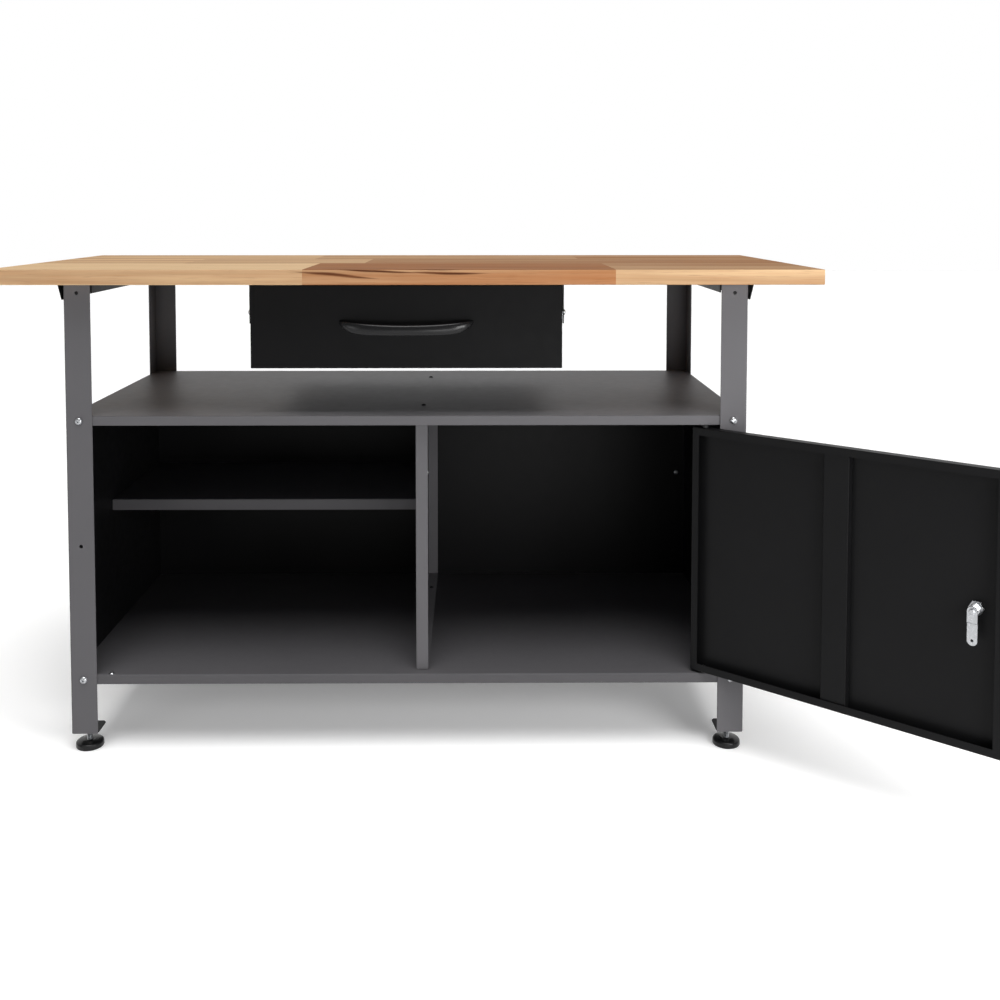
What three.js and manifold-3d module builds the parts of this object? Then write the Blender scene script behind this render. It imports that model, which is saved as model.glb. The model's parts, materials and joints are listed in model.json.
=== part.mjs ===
// Workshop bench: hardwood worktop on a bolted frame of steel angle legs, a hanging drawer,
// an open shelf tier and a sheet-steel cabinet with one hinged door on its right-hand bay.
// Millimetres, +Z up, the front faces -Y, origin on the floor under the middle of the leg frame.
// The door stands open and the drawer is shut, as in the bench's usual working state.

import * as THREE from 'three';
import { mergeVertices } from 'three/addons/utils/BufferGeometryUtils.js';
import Module from 'manifold-3d';

const wasm = await Module();
wasm.setup();

// Driving dimensions: worktop and leg frame
const BENCH_HEIGHT = 850;
const WORKTOP_WIDTH = 1420;
const WORKTOP_THICKNESS = 26;
const WORKTOP_EDGE_CHAMFER = 1.5;
const FRONT_OVERHANG = 40;
const BACK_OVERHANG = 15;
const FRAME_WIDTH = 1180;
const FRAME_DEPTH = 545;
const LEG_FLANGE = 46;
const LEG_STEEL = 2;
const LEG_BEND_RADIUS = 4;
const LEG_LIFT = 32;
const RAIL_STEEL = 2;
const RAIL_OUTER_DROP = 28;
const RAIL_INNER_DROP = 16;
const RAIL_OUTREACH_TOP = 11;
const RAIL_OUTREACH_BOTTOM = 4.5;
const RAIL_END_SETBACK = 4;

// Driving dimensions: cabinet sheet work
const SHEET = 1;
const MID_SHELF_TOP = 594;
const BOTTOM_PANEL_TOP = 137;
const SHELF_LIP = 17;
const SHELF_FRONT_RETURN = 16;
const SIDE_PANEL_RETURN = 12;
const DIVIDER_X = 14;
const DIVIDER_FLANGE = 21;
const DIVIDER_RECESS = 20.5;
const INNER_SHELF_TOP = 390;
const INNER_SHELF_LIP = 21;
const INNER_SHELF_DEPTH = 317;

// Driving dimensions: door, hinge pins and cam lock
const DOOR_OPEN_ANGLE = 139.9;
const DOOR_DEPTH = 18;
const DOOR_RETURN = 13;
const DOOR_SIDE_GAP = 4;
const DOOR_BOTTOM_GAP = 3.5;
const DOOR_TOP_GAP = 5.5;
const HINGE_SETBACK = 20;
const HINGE_DEPTH = 7.5;
const HINGE_PIN_DIAMETER = 5;
const HINGE_COLLAR_DIAMETER = 9;
const HINGE_COLLAR_HEIGHT = 6;
const HINGE_BUSH_DIAMETER = 7;
const HINGE_BUSH_HEAD_DIAMETER = 12;
const HINGE_BUSH_STEM = 5;
const STIFFENER_WIDTH = 42;
const STIFFENER_DEPTH = 14;
const LOCK_EDGE_DISTANCE = 44;
const LOCK_BARREL_DIAMETER = 16;
const LOCK_COLLAR_DIAMETER = 22;
const LOCK_COLLAR_THICKNESS = 2.5;
const LOCK_PLUG_DIAMETER = 11;
const LOCK_SPIGOT_DIAMETER = 8;
const LOCK_NUT_WIDTH = 20;
const LOCK_NUT_THICKNESS = 5;
const LOCK_CAM_REACH = 52;
const LOCK_CAM_WIDTH = 15;
const LOCK_CAM_THICKNESS = 2.5;
const LOCK_CAM_CLEARANCE = 0.5;
const CAM_SCREW_DIAMETER = 4;
const CAM_SCREW_HEAD_DIAMETER = 9;
const CAM_SCREW_HEAD_HEIGHT = 3;
const CAM_SCREW_LENGTH = 9;

// Driving dimensions: drawer
const DRAWER_FRONT_OVERLAP = 11;
const DRAWER_FRONT_HEIGHT = 144;
const DRAWER_FRONT_DEPTH = 15;
const DRAWER_TOP_GAP = 3;
const DRAWER_BOX_WIDTH = 516;
const DRAWER_BOX_DEPTH = 486;
const DRAWER_BOX_HEIGHT = 126;
const DRAWER_BOX_LIFT = 3;
const DRAWER_BACK_DROP = 6;
const HANGER_STEEL = 1.5;
const HANGER_HEIGHT = 70;
const HANGER_FLANGE = 24;
const HANGER_SIDE_GAP = 2;
const HANGER_SETBACK = 11;
const RUNNER_HEIGHT = 18;
const RUNNER_WIDTH = 10;
const RUNNER_STEEL = 1.5;
const RUNNER_LIFT = 2;
const SLIDE_CLEARANCE = 0.5;
const HANDLE_WIDTH = 240;
const HANDLE_REACH = 28;
const HANDLE_SAG = 9;
const HANDLE_DROP = 66.5;
const HANDLE_GRIP_HEIGHT = 18;
const HANDLE_GRIP_THICKNESS = 9;

// Driving dimensions: feet and fasteners
const FOOT_INSET = 24;
const FOOT_PLATE_THICKNESS = 3;
const FOOT_PAD_DIAMETER = 48;
const FOOT_PAD_HEIGHT = 13;
const FOOT_PAD_CROWN = 5;
const FOOT_STUD_DIAMETER = 10;
const FOOT_STUD_TOP = 60;
const FOOT_STUD_SEAT_DEPTH = 6;
const FOOT_NUT_WIDTH = 17;
const FOOT_NUT_HEIGHT = 8;
const BOLT_DIAMETER = 6;
const BOLT_HEAD_DIAMETER = 13;
const BOLT_HEAD_HEIGHT = 4;
const BOLT_LENGTH = 14;
const BOLT_HOLE_CLEARANCE = 0.6;
const SHELF_BOLT_DIAMETER = 5;
const SHELF_BOLT_HEAD_DIAMETER = 10;
const SHELF_BOLT_HEAD_HEIGHT = 3;
const SHELF_BOLT_LENGTH = 12;
const SHELF_BOLT_EDGE = 30;
const SHELF_BOLT_LEG_GAP = 14;
const SEAT_GAP = 0.3;

// Facet counts
const HOLE_SIDES = 10;
const ROUND_SIDES = 20;
const PAD_SIDES = 32;
const BEND_STEPS = 5;
const HANDLE_STEPS = 26;
const HANDLE_SIDES = 12;

// Places worked out from the driving dimensions
const UNDERSIDE = BENCH_HEIGHT - WORKTOP_THICKNESS;
const HALF_WIDTH = FRAME_WIDTH / 2;
const FRONT = -FRAME_DEPTH / 2;
const BACK = FRAME_DEPTH / 2;
const RAIL_TOP = UNDERSIDE - SEAT_GAP;
const LEG_TOP = RAIL_TOP - RAIL_STEEL - SEAT_GAP;
const LEG_INNER_EDGE = HALF_WIDTH - LEG_FLANGE;
const PAN_HALF_WIDTH = HALF_WIDTH - LEG_STEEL - SEAT_GAP;
const PAN_FRONT = FRONT + LEG_STEEL + SEAT_GAP;
const PAN_BACK = -PAN_FRONT;
const SIDE_PANEL_OUTSIDE = PAN_HALF_WIDTH - SHEET - SEAT_GAP;
const SIDE_PANEL_INSIDE = SIDE_PANEL_OUTSIDE - SHEET;
const BACK_PANEL_OUTSIDE = PAN_BACK - SHEET - SEAT_GAP;
const BACK_PANEL_INSIDE = BACK_PANEL_OUTSIDE - SHEET;
const WALL_BOTTOM = BOTTOM_PANEL_TOP + SEAT_GAP;
const WALL_TOP = MID_SHELF_TOP - SHEET - SEAT_GAP;
const SHELF_BOLT_LEVEL = INNER_SHELF_TOP - INNER_SHELF_LIP / 2;
const INNER_SHELF_BACK = BACK_PANEL_INSIDE - SEAT_GAP;
const INNER_SHELF_FRONT = INNER_SHELF_BACK - INNER_SHELF_DEPTH;
const SHELF_BOLT_PLACES = [INNER_SHELF_FRONT + SHELF_BOLT_EDGE, BACK - LEG_FLANGE - SHELF_BOLT_LEG_GAP];
const MID_HOLE_LEVEL = (MID_SHELF_TOP + BOTTOM_PANEL_TOP) / 2;
const UPPER_BOLT_LEVEL = MID_SHELF_TOP - SHELF_LIP / 2;
const LOWER_BOLT_LEVEL = BOTTOM_PANEL_TOP - SHELF_LIP / 2;
const TOP_HOLE_LEVEL = RAIL_TOP - RAIL_INNER_DROP;
const LEG_HOLE_LEVELS = [LOWER_BOLT_LEVEL, MID_HOLE_LEVEL, UPPER_BOLT_LEVEL, TOP_HOLE_LEVEL];
const BOLT_LINE = HALF_WIDTH - LEG_FLANGE / 2;

// Solids: a three.js geometry becomes a closed solid, and back

function solidOf(geometry) {
  const bare = geometry.clone();
  bare.deleteAttribute('normal');
  bare.deleteAttribute('uv');
  const merged = mergeVertices(bare, 1e-5);
  const points = merged.getAttribute('position').array;
  const corners = merged.index.array;
  const kept = [];
  for (let i = 0; i < corners.length; i += 3) {
    const [a, b, c] = [corners[i], corners[i + 1], corners[i + 2]];
    if (a !== b && b !== c && a !== c) kept.push(a, b, c);
  }
  const mesh = new wasm.Mesh({
    numProp: 3, vertProperties: Float32Array.from(points), triVerts: Uint32Array.from(kept),
  });
  return new wasm.Manifold(mesh);
}

function geometryOf(solid) {
  const mesh = solid.getMesh();
  const geometry = new THREE.BufferGeometry();
  geometry.setAttribute('position', new THREE.BufferAttribute(Float32Array.from(mesh.vertProperties), 3));
  geometry.setIndex(new THREE.BufferAttribute(Uint32Array.from(mesh.triVerts), 1));
  geometry.computeVertexNormals();
  return geometry;
}

const join = (...solids) => solids.reduce((whole, piece) => whole.add(piece));
const cut = (solid, ...tools) => tools.reduce((whole, tool) => whole.subtract(tool), solid);

// A box between two opposite corners
function block(x0, x1, y0, y1, z0, z1) {
  const box = new THREE.BoxGeometry(Math.abs(x1 - x0), Math.abs(y1 - y0), Math.abs(z1 - z0));
  box.translate((x0 + x1) / 2, (y0 + y1) / 2, (z0 + z1) / 2);
  return solidOf(box);
}

// An outline in plan, raised from one level to another
function prism(outline, z0, z1) {
  const shape = new THREE.Shape(outline.map(([x, y]) => new THREE.Vector2(x, y)));
  const raised = new THREE.ExtrudeGeometry(shape, { depth: z1 - z0, bevelEnabled: false });
  raised.translate(0, 0, z0);
  return solidOf(raised);
}

// An outline of (x, z) points, drawn out along Y
function rail(outline, y0, y1) {
  const shape = new THREE.Shape(outline.map(([x, z]) => new THREE.Vector2(x, z)));
  const drawn = new THREE.ExtrudeGeometry(shape, { depth: y1 - y0, bevelEnabled: false });
  drawn.rotateX(Math.PI / 2);
  drawn.translate(0, y1, 0);
  return solidOf(drawn);
}

// A (radius, height) profile turned about Z, from its lower point on the axis to its upper one
function turned(profile, sides) {
  const points = profile.map(([radius, height]) => new THREE.Vector2(radius, height));
  const round = new THREE.LatheGeometry(points, sides);
  round.rotateX(Math.PI / 2);
  return solidOf(round);
}

// A bar with a round or six-sided section, centred on the origin along one axis
function bar(axis, diameter, from, to, sides) {
  const round = new THREE.CylinderGeometry(diameter / 2, diameter / 2, to - from, sides);
  round.translate(0, (from + to) / 2, 0);
  if (axis === 'x') round.rotateZ(-Math.PI / 2);
  if (axis === 'z') round.rotateX(Math.PI / 2);
  return solidOf(round);
}

// Across-flats width of a hexagon to the diameter round its corners
const hexagon = (acrossFlats) => acrossFlats / Math.cos(Math.PI / 6);

function rectangleWithCutCorners(x0, x1, y0, y1, corner) {
  return [
    [x0 + corner, y0], [x1 - corner, y0], [x1, y0 + corner], [x1, y1 - corner],
    [x1 - corner, y1], [x0 + corner, y1], [x0, y1 - corner], [x0, y0 + corner],
  ];
}

// Finishes

function finish(color, roughness, metalness) {
  return new THREE.MeshStandardMaterial({ color, roughness, metalness });
}

const HARDWOOD = finish(0xc8935f, 0.5, 0);
const GREY_PAINT = finish(0x66666a, 0.45, 0.1);
const BLACK_PAINT = finish(0x1d1d1f, 0.4, 0.1);
const BLACK_PLASTIC = finish(0x121213, 0.5, 0);
const ZINC = finish(0xb9bcc0, 0.3, 1);

const bench = new THREE.Group();
bench.name = 'workbench';

function place(parent, name, solid, material) {
  const mesh = new THREE.Mesh(geometryOf(solid), material);
  mesh.name = name;
  parent.add(mesh);
  return mesh;
}

const SIDES = [['left', -1], ['right', 1]];
const ENDS = [['front', -1], ['rear', 1]];
const CORNERS = ENDS.flatMap(([end, endSign]) =>
  SIDES.map(([side, sideSign]) => ({ name: `${end}_${side}`, sideSign, endSign })),
);

// Worktop: one glued hardwood board with its edges eased

function makeWorktop() {
  const c = WORKTOP_EDGE_CHAMFER;
  const halfWidth = WORKTOP_WIDTH / 2;
  const front = FRONT - FRONT_OVERHANG;
  const back = BACK + BACK_OVERHANG;
  const shape = new THREE.Shape([
    new THREE.Vector2(-halfWidth + c, front + c),
    new THREE.Vector2(halfWidth - c, front + c),
    new THREE.Vector2(halfWidth - c, back - c),
    new THREE.Vector2(-halfWidth + c, back - c),
  ]);
  const board = new THREE.ExtrudeGeometry(shape, {
    depth: WORKTOP_THICKNESS - 2 * c, bevelThickness: c, bevelSize: c, bevelSegments: 1,
  });
  board.translate(0, 0, UNDERSIDE + c);
  return solidOf(board);
}

place(bench, 'worktop', makeWorktop(), HARDWOOD);

// Legs: steel angle, one bend, holes on the middle line of both flanges

function makeLeg({ sideSign, endSign }) {
  const outline = [
    [LEG_FLANGE, 0], [LEG_FLANGE, LEG_STEEL], [LEG_STEEL, LEG_STEEL],
    [LEG_STEEL, LEG_FLANGE], [0, LEG_FLANGE],
  ];
  for (let step = 0; step <= BEND_STEPS; step++) {
    const turn = (Math.PI / 2) * (step / BEND_STEPS);
    outline.push([LEG_BEND_RADIUS * (1 - Math.cos(turn)), LEG_BEND_RADIUS * (1 - Math.sin(turn))]);
  }
  const placed = outline.map(([x, y]) => [sideSign * (HALF_WIDTH - x), endSign * (BACK - y)]);
  const holeDiameter = BOLT_DIAMETER + BOLT_HOLE_CLEARANCE;
  const flangeMiddle = LEG_FLANGE / 2;
  const holes = LEG_HOLE_LEVELS.flatMap((level) => [
    bar('y', holeDiameter, -2 * LEG_STEEL, 2 * LEG_STEEL, HOLE_SIDES)
      .translate([sideSign * (HALF_WIDTH - flangeMiddle), endSign * BACK, level]),
    bar('x', holeDiameter, -2 * LEG_STEEL, 2 * LEG_STEEL, HOLE_SIDES)
      .translate([sideSign * HALF_WIDTH, endSign * (BACK - flangeMiddle), level]),
  ]);
  return cut(prism(placed, LEG_LIFT, LEG_TOP), ...holes);
}

for (const corner of CORNERS) place(bench, `leg_${corner.name}`, makeLeg(corner), GREY_PAINT);

// Top rails: folded channels over the leg tops, screwed up into the worktop

function makeTopRail(sideSign) {
  const outerTop = HALF_WIDTH + RAIL_OUTREACH_TOP;
  const outerBottom = HALF_WIDTH + RAIL_OUTREACH_BOTTOM;
  const innerOutside = LEG_INNER_EDGE - SEAT_GAP - RAIL_STEEL;
  const webUnderside = RAIL_TOP - RAIL_STEEL;
  const outline = [
    [outerBottom, RAIL_TOP - RAIL_OUTER_DROP], [outerTop, RAIL_TOP], [innerOutside, RAIL_TOP],
    [innerOutside, RAIL_TOP - RAIL_INNER_DROP], [innerOutside + RAIL_STEEL, RAIL_TOP - RAIL_INNER_DROP],
    [innerOutside + RAIL_STEEL, webUnderside], [outerTop - RAIL_STEEL, webUnderside],
    [outerBottom - RAIL_STEEL, RAIL_TOP - RAIL_OUTER_DROP],
  ].map(([x, z]) => [sideSign * x, z]);
  return rail(outline, FRONT + RAIL_END_SETBACK, BACK - RAIL_END_SETBACK);
}

for (const [side, sideSign] of SIDES) place(bench, `top_rail_${side}`, makeTopRail(sideSign), BLACK_PAINT);

// Pans: sheet folded down into lips on all four sides

function makePan(x0, x1, y0, y1, top, lip) {
  const outside = block(x0, x1, y0, y1, top - lip, top);
  const inside = block(x0 + SHEET, x1 - SHEET, y0 + SHEET, y1 - SHEET, top - lip - SHEET, top - SHEET);
  return cut(outside, inside);
}

// Holes for a pair of frame bolts in an upright sheet between two legs
function frameBoltHoles(y, level) {
  return SIDES.map(([, sideSign]) =>
    bar('y', BOLT_DIAMETER + BOLT_HOLE_CLEARANCE, -2 * SHEET, 2 * SHEET, HOLE_SIDES)
      .translate([sideSign * BOLT_LINE, y, level]),
  );
}

// A pan's bolt holes in its front and rear lips
const panBoltHoles = (level) => [...frameBoltHoles(PAN_FRONT, level), ...frameBoltHoles(PAN_BACK, level)];

const PIN_X = LEG_INNER_EDGE - DOOR_SIDE_GAP - HINGE_SETBACK;
const PIN_Y = FRONT + HINGE_DEPTH;

// The hinge bush's seat, a round hole at one level
function bushHole(level) {
  return bar('z', HINGE_BUSH_DIAMETER + 2 * SEAT_GAP, -2 * SHEET, 2 * SHEET, ROUND_SIDES)
    .translate([PIN_X, PIN_Y, level]);
}

// Mid shelf: the cabinet's roof, with a return along the front lip that takes the upper hinge bush
function makeMidShelf() {
  const lipBottom = MID_SHELF_TOP - SHELF_LIP;
  const returnReach = LEG_INNER_EDGE - SEAT_GAP;
  const pan = makePan(-PAN_HALF_WIDTH, PAN_HALF_WIDTH, PAN_FRONT, PAN_BACK, MID_SHELF_TOP, SHELF_LIP);
  const frontReturn = block(
    -returnReach, returnReach, PAN_FRONT, PAN_FRONT + SHELF_FRONT_RETURN, lipBottom, lipBottom + SHEET,
  );
  return cut(join(pan, frontReturn), bushHole(lipBottom), ...panBoltHoles(UPPER_BOLT_LEVEL));
}

place(bench, 'mid_shelf', makeMidShelf(), GREY_PAINT);

// Bottom panel: the cabinet's floor, with the lower hinge bush in its top sheet
function makeBottomPanel() {
  const pan = makePan(-PAN_HALF_WIDTH, PAN_HALF_WIDTH, PAN_FRONT, PAN_BACK, BOTTOM_PANEL_TOP, SHELF_LIP);
  return cut(pan, bushHole(BOTTOM_PANEL_TOP), ...panBoltHoles(LOWER_BOLT_LEVEL));
}

place(bench, 'bottom_panel', makeBottomPanel(), GREY_PAINT);

// Side panels: flat sheet inside the shelf lips, with a narrow return behind the front leg

function shelfBoltHoles(x) {
  return SHELF_BOLT_PLACES.map((y) =>
    bar('x', SHELF_BOLT_DIAMETER + BOLT_HOLE_CLEARANCE, -2 * SHEET, 2 * SHEET, HOLE_SIDES)
      .translate([x, y, SHELF_BOLT_LEVEL]),
  );
}

function makeSidePanel(sideSign) {
  const front = -BACK_PANEL_OUTSIDE;
  const sheet = block(
    sideSign * SIDE_PANEL_INSIDE, sideSign * SIDE_PANEL_OUTSIDE,
    front, BACK_PANEL_OUTSIDE, WALL_BOTTOM, WALL_TOP,
  );
  const frontReturn = block(
    sideSign * (SIDE_PANEL_OUTSIDE - SIDE_PANEL_RETURN), sideSign * SIDE_PANEL_OUTSIDE,
    front, front + SHEET, WALL_BOTTOM, WALL_TOP,
  );
  return join(sheet, frontReturn);
}

const leftPanel = cut(makeSidePanel(-1), ...shelfBoltHoles(-SIDE_PANEL_OUTSIDE));
place(bench, 'side_panel_left', leftPanel, BLACK_PAINT);
place(bench, 'side_panel_right', makeSidePanel(1), BLACK_PAINT);

// Back panel: flat sheet between the side panels, held by the rear frame bolts

function makeBackPanel() {
  const reach = SIDE_PANEL_INSIDE - SEAT_GAP;
  const sheet = block(-reach, reach, BACK_PANEL_INSIDE, BACK_PANEL_OUTSIDE, WALL_BOTTOM, WALL_TOP);
  return cut(sheet, ...frameBoltHoles(BACK_PANEL_INSIDE, UPPER_BOLT_LEVEL));
}

place(bench, 'back_panel', makeBackPanel(), BLACK_PAINT);

// Divider: upright sheet with flanges on all four edges, turned to the door's bay

const DIVIDER_FRONT = FRONT + DIVIDER_RECESS;
const DIVIDER_BACK = BACK_PANEL_INSIDE - SEAT_GAP;

function makeDivider() {
  const x1 = DIVIDER_X + DIVIDER_FLANGE;
  const whole = block(DIVIDER_X, x1, DIVIDER_FRONT, DIVIDER_BACK, WALL_BOTTOM, WALL_TOP);
  const hollow = block(
    DIVIDER_X + SHEET, x1 + SHEET, DIVIDER_FRONT + SHEET, DIVIDER_BACK - SHEET,
    WALL_BOTTOM + SHEET, WALL_TOP - SHEET,
  );
  return cut(whole, hollow, ...shelfBoltHoles(DIVIDER_X));
}

place(bench, 'divider', makeDivider(), GREY_PAINT);

// Inner shelf: half-depth pan in the open bay, bolted to the side panel and the divider

function makeInnerShelf() {
  const x0 = -SIDE_PANEL_INSIDE + SEAT_GAP;
  const x1 = DIVIDER_X - SEAT_GAP;
  const pan = makePan(x0, x1, INNER_SHELF_FRONT, INNER_SHELF_BACK, INNER_SHELF_TOP, INNER_SHELF_LIP);
  return cut(pan, ...shelfBoltHoles(x0), ...shelfBoltHoles(x1));
}

place(bench, 'inner_shelf', makeInnerShelf(), GREY_PAINT);

// Bolts: low round head, plain shank; made with the head on the positive side of the axis

function makeBolt(diameter, headDiameter, headHeight, length) {
  const headRadius = headDiameter / 2;
  return turned([
    [0, -length], [diameter / 2, -length], [diameter / 2, SEAT_GAP], [headRadius, SEAT_GAP],
    [headRadius, SEAT_GAP + headHeight / 3], [headRadius * 0.7, SEAT_GAP + headHeight * 0.85],
    [0, SEAT_GAP + headHeight],
  ], HOLE_SIDES);
}

for (const { name, sideSign, endSign } of CORNERS) {
  for (const [height, level] of [['upper', UPPER_BOLT_LEVEL], ['lower', LOWER_BOLT_LEVEL]]) {
    const bolt = place(
      bench,
      `frame_bolt_${name}_${height}`,
      makeBolt(BOLT_DIAMETER, BOLT_HEAD_DIAMETER, BOLT_HEAD_HEIGHT, BOLT_LENGTH),
      ZINC,
    );
    bolt.rotation.x = -endSign * (Math.PI / 2);
    bolt.position.set(sideSign * BOLT_LINE, endSign * BACK, level);
  }
}

for (const [index, boltY] of SHELF_BOLT_PLACES.entries()) {
  const where = ENDS[index][0];
  for (const [side, x, turn] of [['left', -SIDE_PANEL_OUTSIDE, -1], ['right', DIVIDER_X + SHEET, 1]]) {
    const bolt = place(
      bench,
      `inner_shelf_bolt_${side}_${where}`,
      makeBolt(SHELF_BOLT_DIAMETER, SHELF_BOLT_HEAD_DIAMETER, SHELF_BOLT_HEAD_HEIGHT, SHELF_BOLT_LENGTH),
      ZINC,
    );
    bolt.rotation.y = turn * (Math.PI / 2);
    bolt.position.set(x, boltY, SHELF_BOLT_LEVEL);
  }
}

// Hinge bushes: plastic, a stem in the sheet's hole and a head towards the door

const DOOR_BOTTOM = BOTTOM_PANEL_TOP + DOOR_BOTTOM_GAP;
const DOOR_TOP = MID_SHELF_TOP - SHELF_LIP - DOOR_TOP_GAP;

function makeHingeBush(headThickness) {
  const bore = HINGE_PIN_DIAMETER / 2 + SEAT_GAP;
  const head = bar('z', HINGE_BUSH_HEAD_DIAMETER, SEAT_GAP, SEAT_GAP + headThickness, ROUND_SIDES);
  const stem = bar('z', HINGE_BUSH_DIAMETER, -HINGE_BUSH_STEM, SEAT_GAP + headThickness / 2, ROUND_SIDES);
  return cut(join(head, stem), bar('z', 2 * bore, -2 * HINGE_BUSH_STEM, 2 * HINGE_BUSH_STEM, ROUND_SIDES));
}

const lowerHead = DOOR_BOTTOM_GAP - 2 * SEAT_GAP;
const lowerBush = place(bench, 'hinge_bush_lower', makeHingeBush(lowerHead), BLACK_PLASTIC);
lowerBush.position.set(PIN_X, PIN_Y, BOTTOM_PANEL_TOP);
const upperHead = DOOR_TOP_GAP - 2 * SEAT_GAP;
const upperBush = place(bench, 'hinge_bush_upper', makeHingeBush(upperHead), BLACK_PLASTIC);
upperBush.rotation.x = Math.PI;
upperBush.position.set(PIN_X, PIN_Y, MID_SHELF_TOP - SHELF_LIP);

// Door: folded pan that turns on the two pins; its group stands on the pin line, turned open.
// Inside the group X runs along the shut door and Y points into the cabinet.

const door = new THREE.Group();
door.position.set(PIN_X, PIN_Y, 0);
door.rotation.z = THREE.MathUtils.degToRad(DOOR_OPEN_ANGLE);
bench.add(door);

const DOOR_HINGE_EDGE = HINGE_SETBACK;
const DOOR_FREE_EDGE = DIVIDER_X + DIVIDER_FLANGE / 2 - PIN_X;
const SKIN_FRONT = -HINGE_DEPTH;
const SKIN_BACK = SKIN_FRONT + SHEET;
const DOOR_REAR = SKIN_FRONT + DOOR_DEPTH;
const LOCK_X = DOOR_FREE_EDGE + LOCK_EDGE_DISTANCE;
const LOCK_Z = (DOOR_BOTTOM + DOOR_TOP) / 2;

function makeDoorPanel() {
  const whole = block(DOOR_FREE_EDGE, DOOR_HINGE_EDGE, SKIN_FRONT, DOOR_REAR, DOOR_BOTTOM, DOOR_TOP);
  const hollow = block(
    DOOR_FREE_EDGE + SHEET, DOOR_HINGE_EDGE - SHEET, SKIN_BACK, DOOR_REAR - SHEET,
    DOOR_BOTTOM + SHEET, DOOR_TOP - SHEET,
  );
  const mouth = block(
    DOOR_FREE_EDGE + DOOR_RETURN, DOOR_HINGE_EDGE - DOOR_RETURN, SKIN_BACK, DOOR_REAR + SHEET,
    DOOR_BOTTOM + DOOR_RETURN, DOOR_TOP - DOOR_RETURN,
  );
  const pinHole = bar('z', HINGE_PIN_DIAMETER + 2 * SEAT_GAP, -2 * SHEET, 2 * SHEET, ROUND_SIDES);
  const lockHole = bar('y', LOCK_BARREL_DIAMETER + 2 * SEAT_GAP, -2 * SHEET, 2 * SHEET, ROUND_SIDES);
  return cut(
    whole, hollow, mouth,
    pinHole.translate([0, 0, DOOR_BOTTOM]), pinHole.translate([0, 0, DOOR_TOP]),
    lockHole.translate([LOCK_X, SKIN_FRONT, LOCK_Z]),
  );
}

place(door, 'door_panel', makeDoorPanel(), BLACK_PAINT);

// Stiffener: upright channel welded to the middle of the door's skin
function makeStiffener() {
  const middle = (DOOR_HINGE_EDGE + DOOR_FREE_EDGE) / 2;
  const x0 = middle - STIFFENER_WIDTH / 2;
  const x1 = middle + STIFFENER_WIDTH / 2;
  const front = SKIN_BACK + SEAT_GAP;
  const z0 = DOOR_BOTTOM + SHEET + SEAT_GAP;
  const z1 = DOOR_TOP - SHEET - SEAT_GAP;
  const whole = block(x0, x1, front, front + STIFFENER_DEPTH, z0, z1);
  const hollow = block(
    x0 + SHEET, x1 - SHEET, front - SHEET, front + STIFFENER_DEPTH - SHEET, z0 - SHEET, z1 + SHEET,
  );
  return cut(whole, hollow);
}

place(door, 'door_stiffener', makeStiffener(), BLACK_PAINT);

// Hinge pins: a collar inside the door's lip and a shank through the lip into the bush
function makeHingePin(reach) {
  const collar = HINGE_COLLAR_DIAMETER / 2;
  const shank = HINGE_PIN_DIAMETER / 2;
  return turned([
    [0, -SHEET - SEAT_GAP - HINGE_COLLAR_HEIGHT], [collar, -SHEET - SEAT_GAP - HINGE_COLLAR_HEIGHT],
    [collar, -SHEET - SEAT_GAP], [shank, -SHEET - SEAT_GAP], [shank, reach], [0, reach],
  ], ROUND_SIDES);
}

const upperPin = place(door, 'hinge_pin_upper', makeHingePin(DOOR_TOP_GAP + HINGE_BUSH_STEM), ZINC);
upperPin.position.z = DOOR_TOP;
const lowerPin = place(door, 'hinge_pin_lower', makeHingePin(DOOR_BOTTOM_GAP + HINGE_BUSH_STEM), ZINC);
lowerPin.rotation.x = Math.PI;
lowerPin.position.z = DOOR_BOTTOM;

// Cam lock: barrel through the skin, nut behind it, turning plug, cam and its screw.
// The group's Y runs into the cabinet along the lock's axis from the skin's front face.

const lock = new THREE.Group();
lock.position.set(LOCK_X, SKIN_FRONT, LOCK_Z);
door.add(lock);

const CAM_FRONT = DIVIDER_RECESS + SHEET + LOCK_CAM_CLEARANCE;
const CAM_BACK = CAM_FRONT + LOCK_CAM_THICKNESS;
const BARREL_END = CAM_FRONT - SEAT_GAP;
const COLLAR_FRONT = -SEAT_GAP - LOCK_COLLAR_THICKNESS;

function makeLockBarrel() {
  const collar = bar('y', LOCK_COLLAR_DIAMETER, COLLAR_FRONT, -SEAT_GAP, ROUND_SIDES);
  const barrel = bar('y', LOCK_BARREL_DIAMETER, COLLAR_FRONT, BARREL_END, ROUND_SIDES);
  const bore = bar('y', LOCK_PLUG_DIAMETER + 2 * SEAT_GAP, 2 * COLLAR_FRONT, 2 * BARREL_END, ROUND_SIDES);
  return cut(join(collar, barrel), bore);
}

place(lock, 'lock_barrel', makeLockBarrel(), ZINC);

function makeLockNut() {
  const front = SHEET + SEAT_GAP;
  const nut = bar('y', hexagon(LOCK_NUT_WIDTH), front, front + LOCK_NUT_THICKNESS, 6);
  return cut(nut, bar('y', LOCK_BARREL_DIAMETER + 2 * SEAT_GAP, 0, 2 * BARREL_END, ROUND_SIDES));
}

place(lock, 'lock_nut', makeLockNut(), ZINC);

function makeLockPlug() {
  const plug = bar('y', LOCK_PLUG_DIAMETER, COLLAR_FRONT + SEAT_GAP, BARREL_END, ROUND_SIDES);
  const spigot = bar('y', LOCK_SPIGOT_DIAMETER, 0, CAM_BACK - SEAT_GAP, 6);
  const holeEnd = CAM_BACK - CAM_SCREW_LENGTH - SEAT_GAP;
  const screwHole = bar('y', CAM_SCREW_DIAMETER + 2 * SEAT_GAP, holeEnd, 2 * CAM_BACK, HOLE_SIDES);
  return cut(join(plug, spigot), screwHole);
}

place(lock, 'lock_plug', makeLockPlug(), ZINC);

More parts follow.
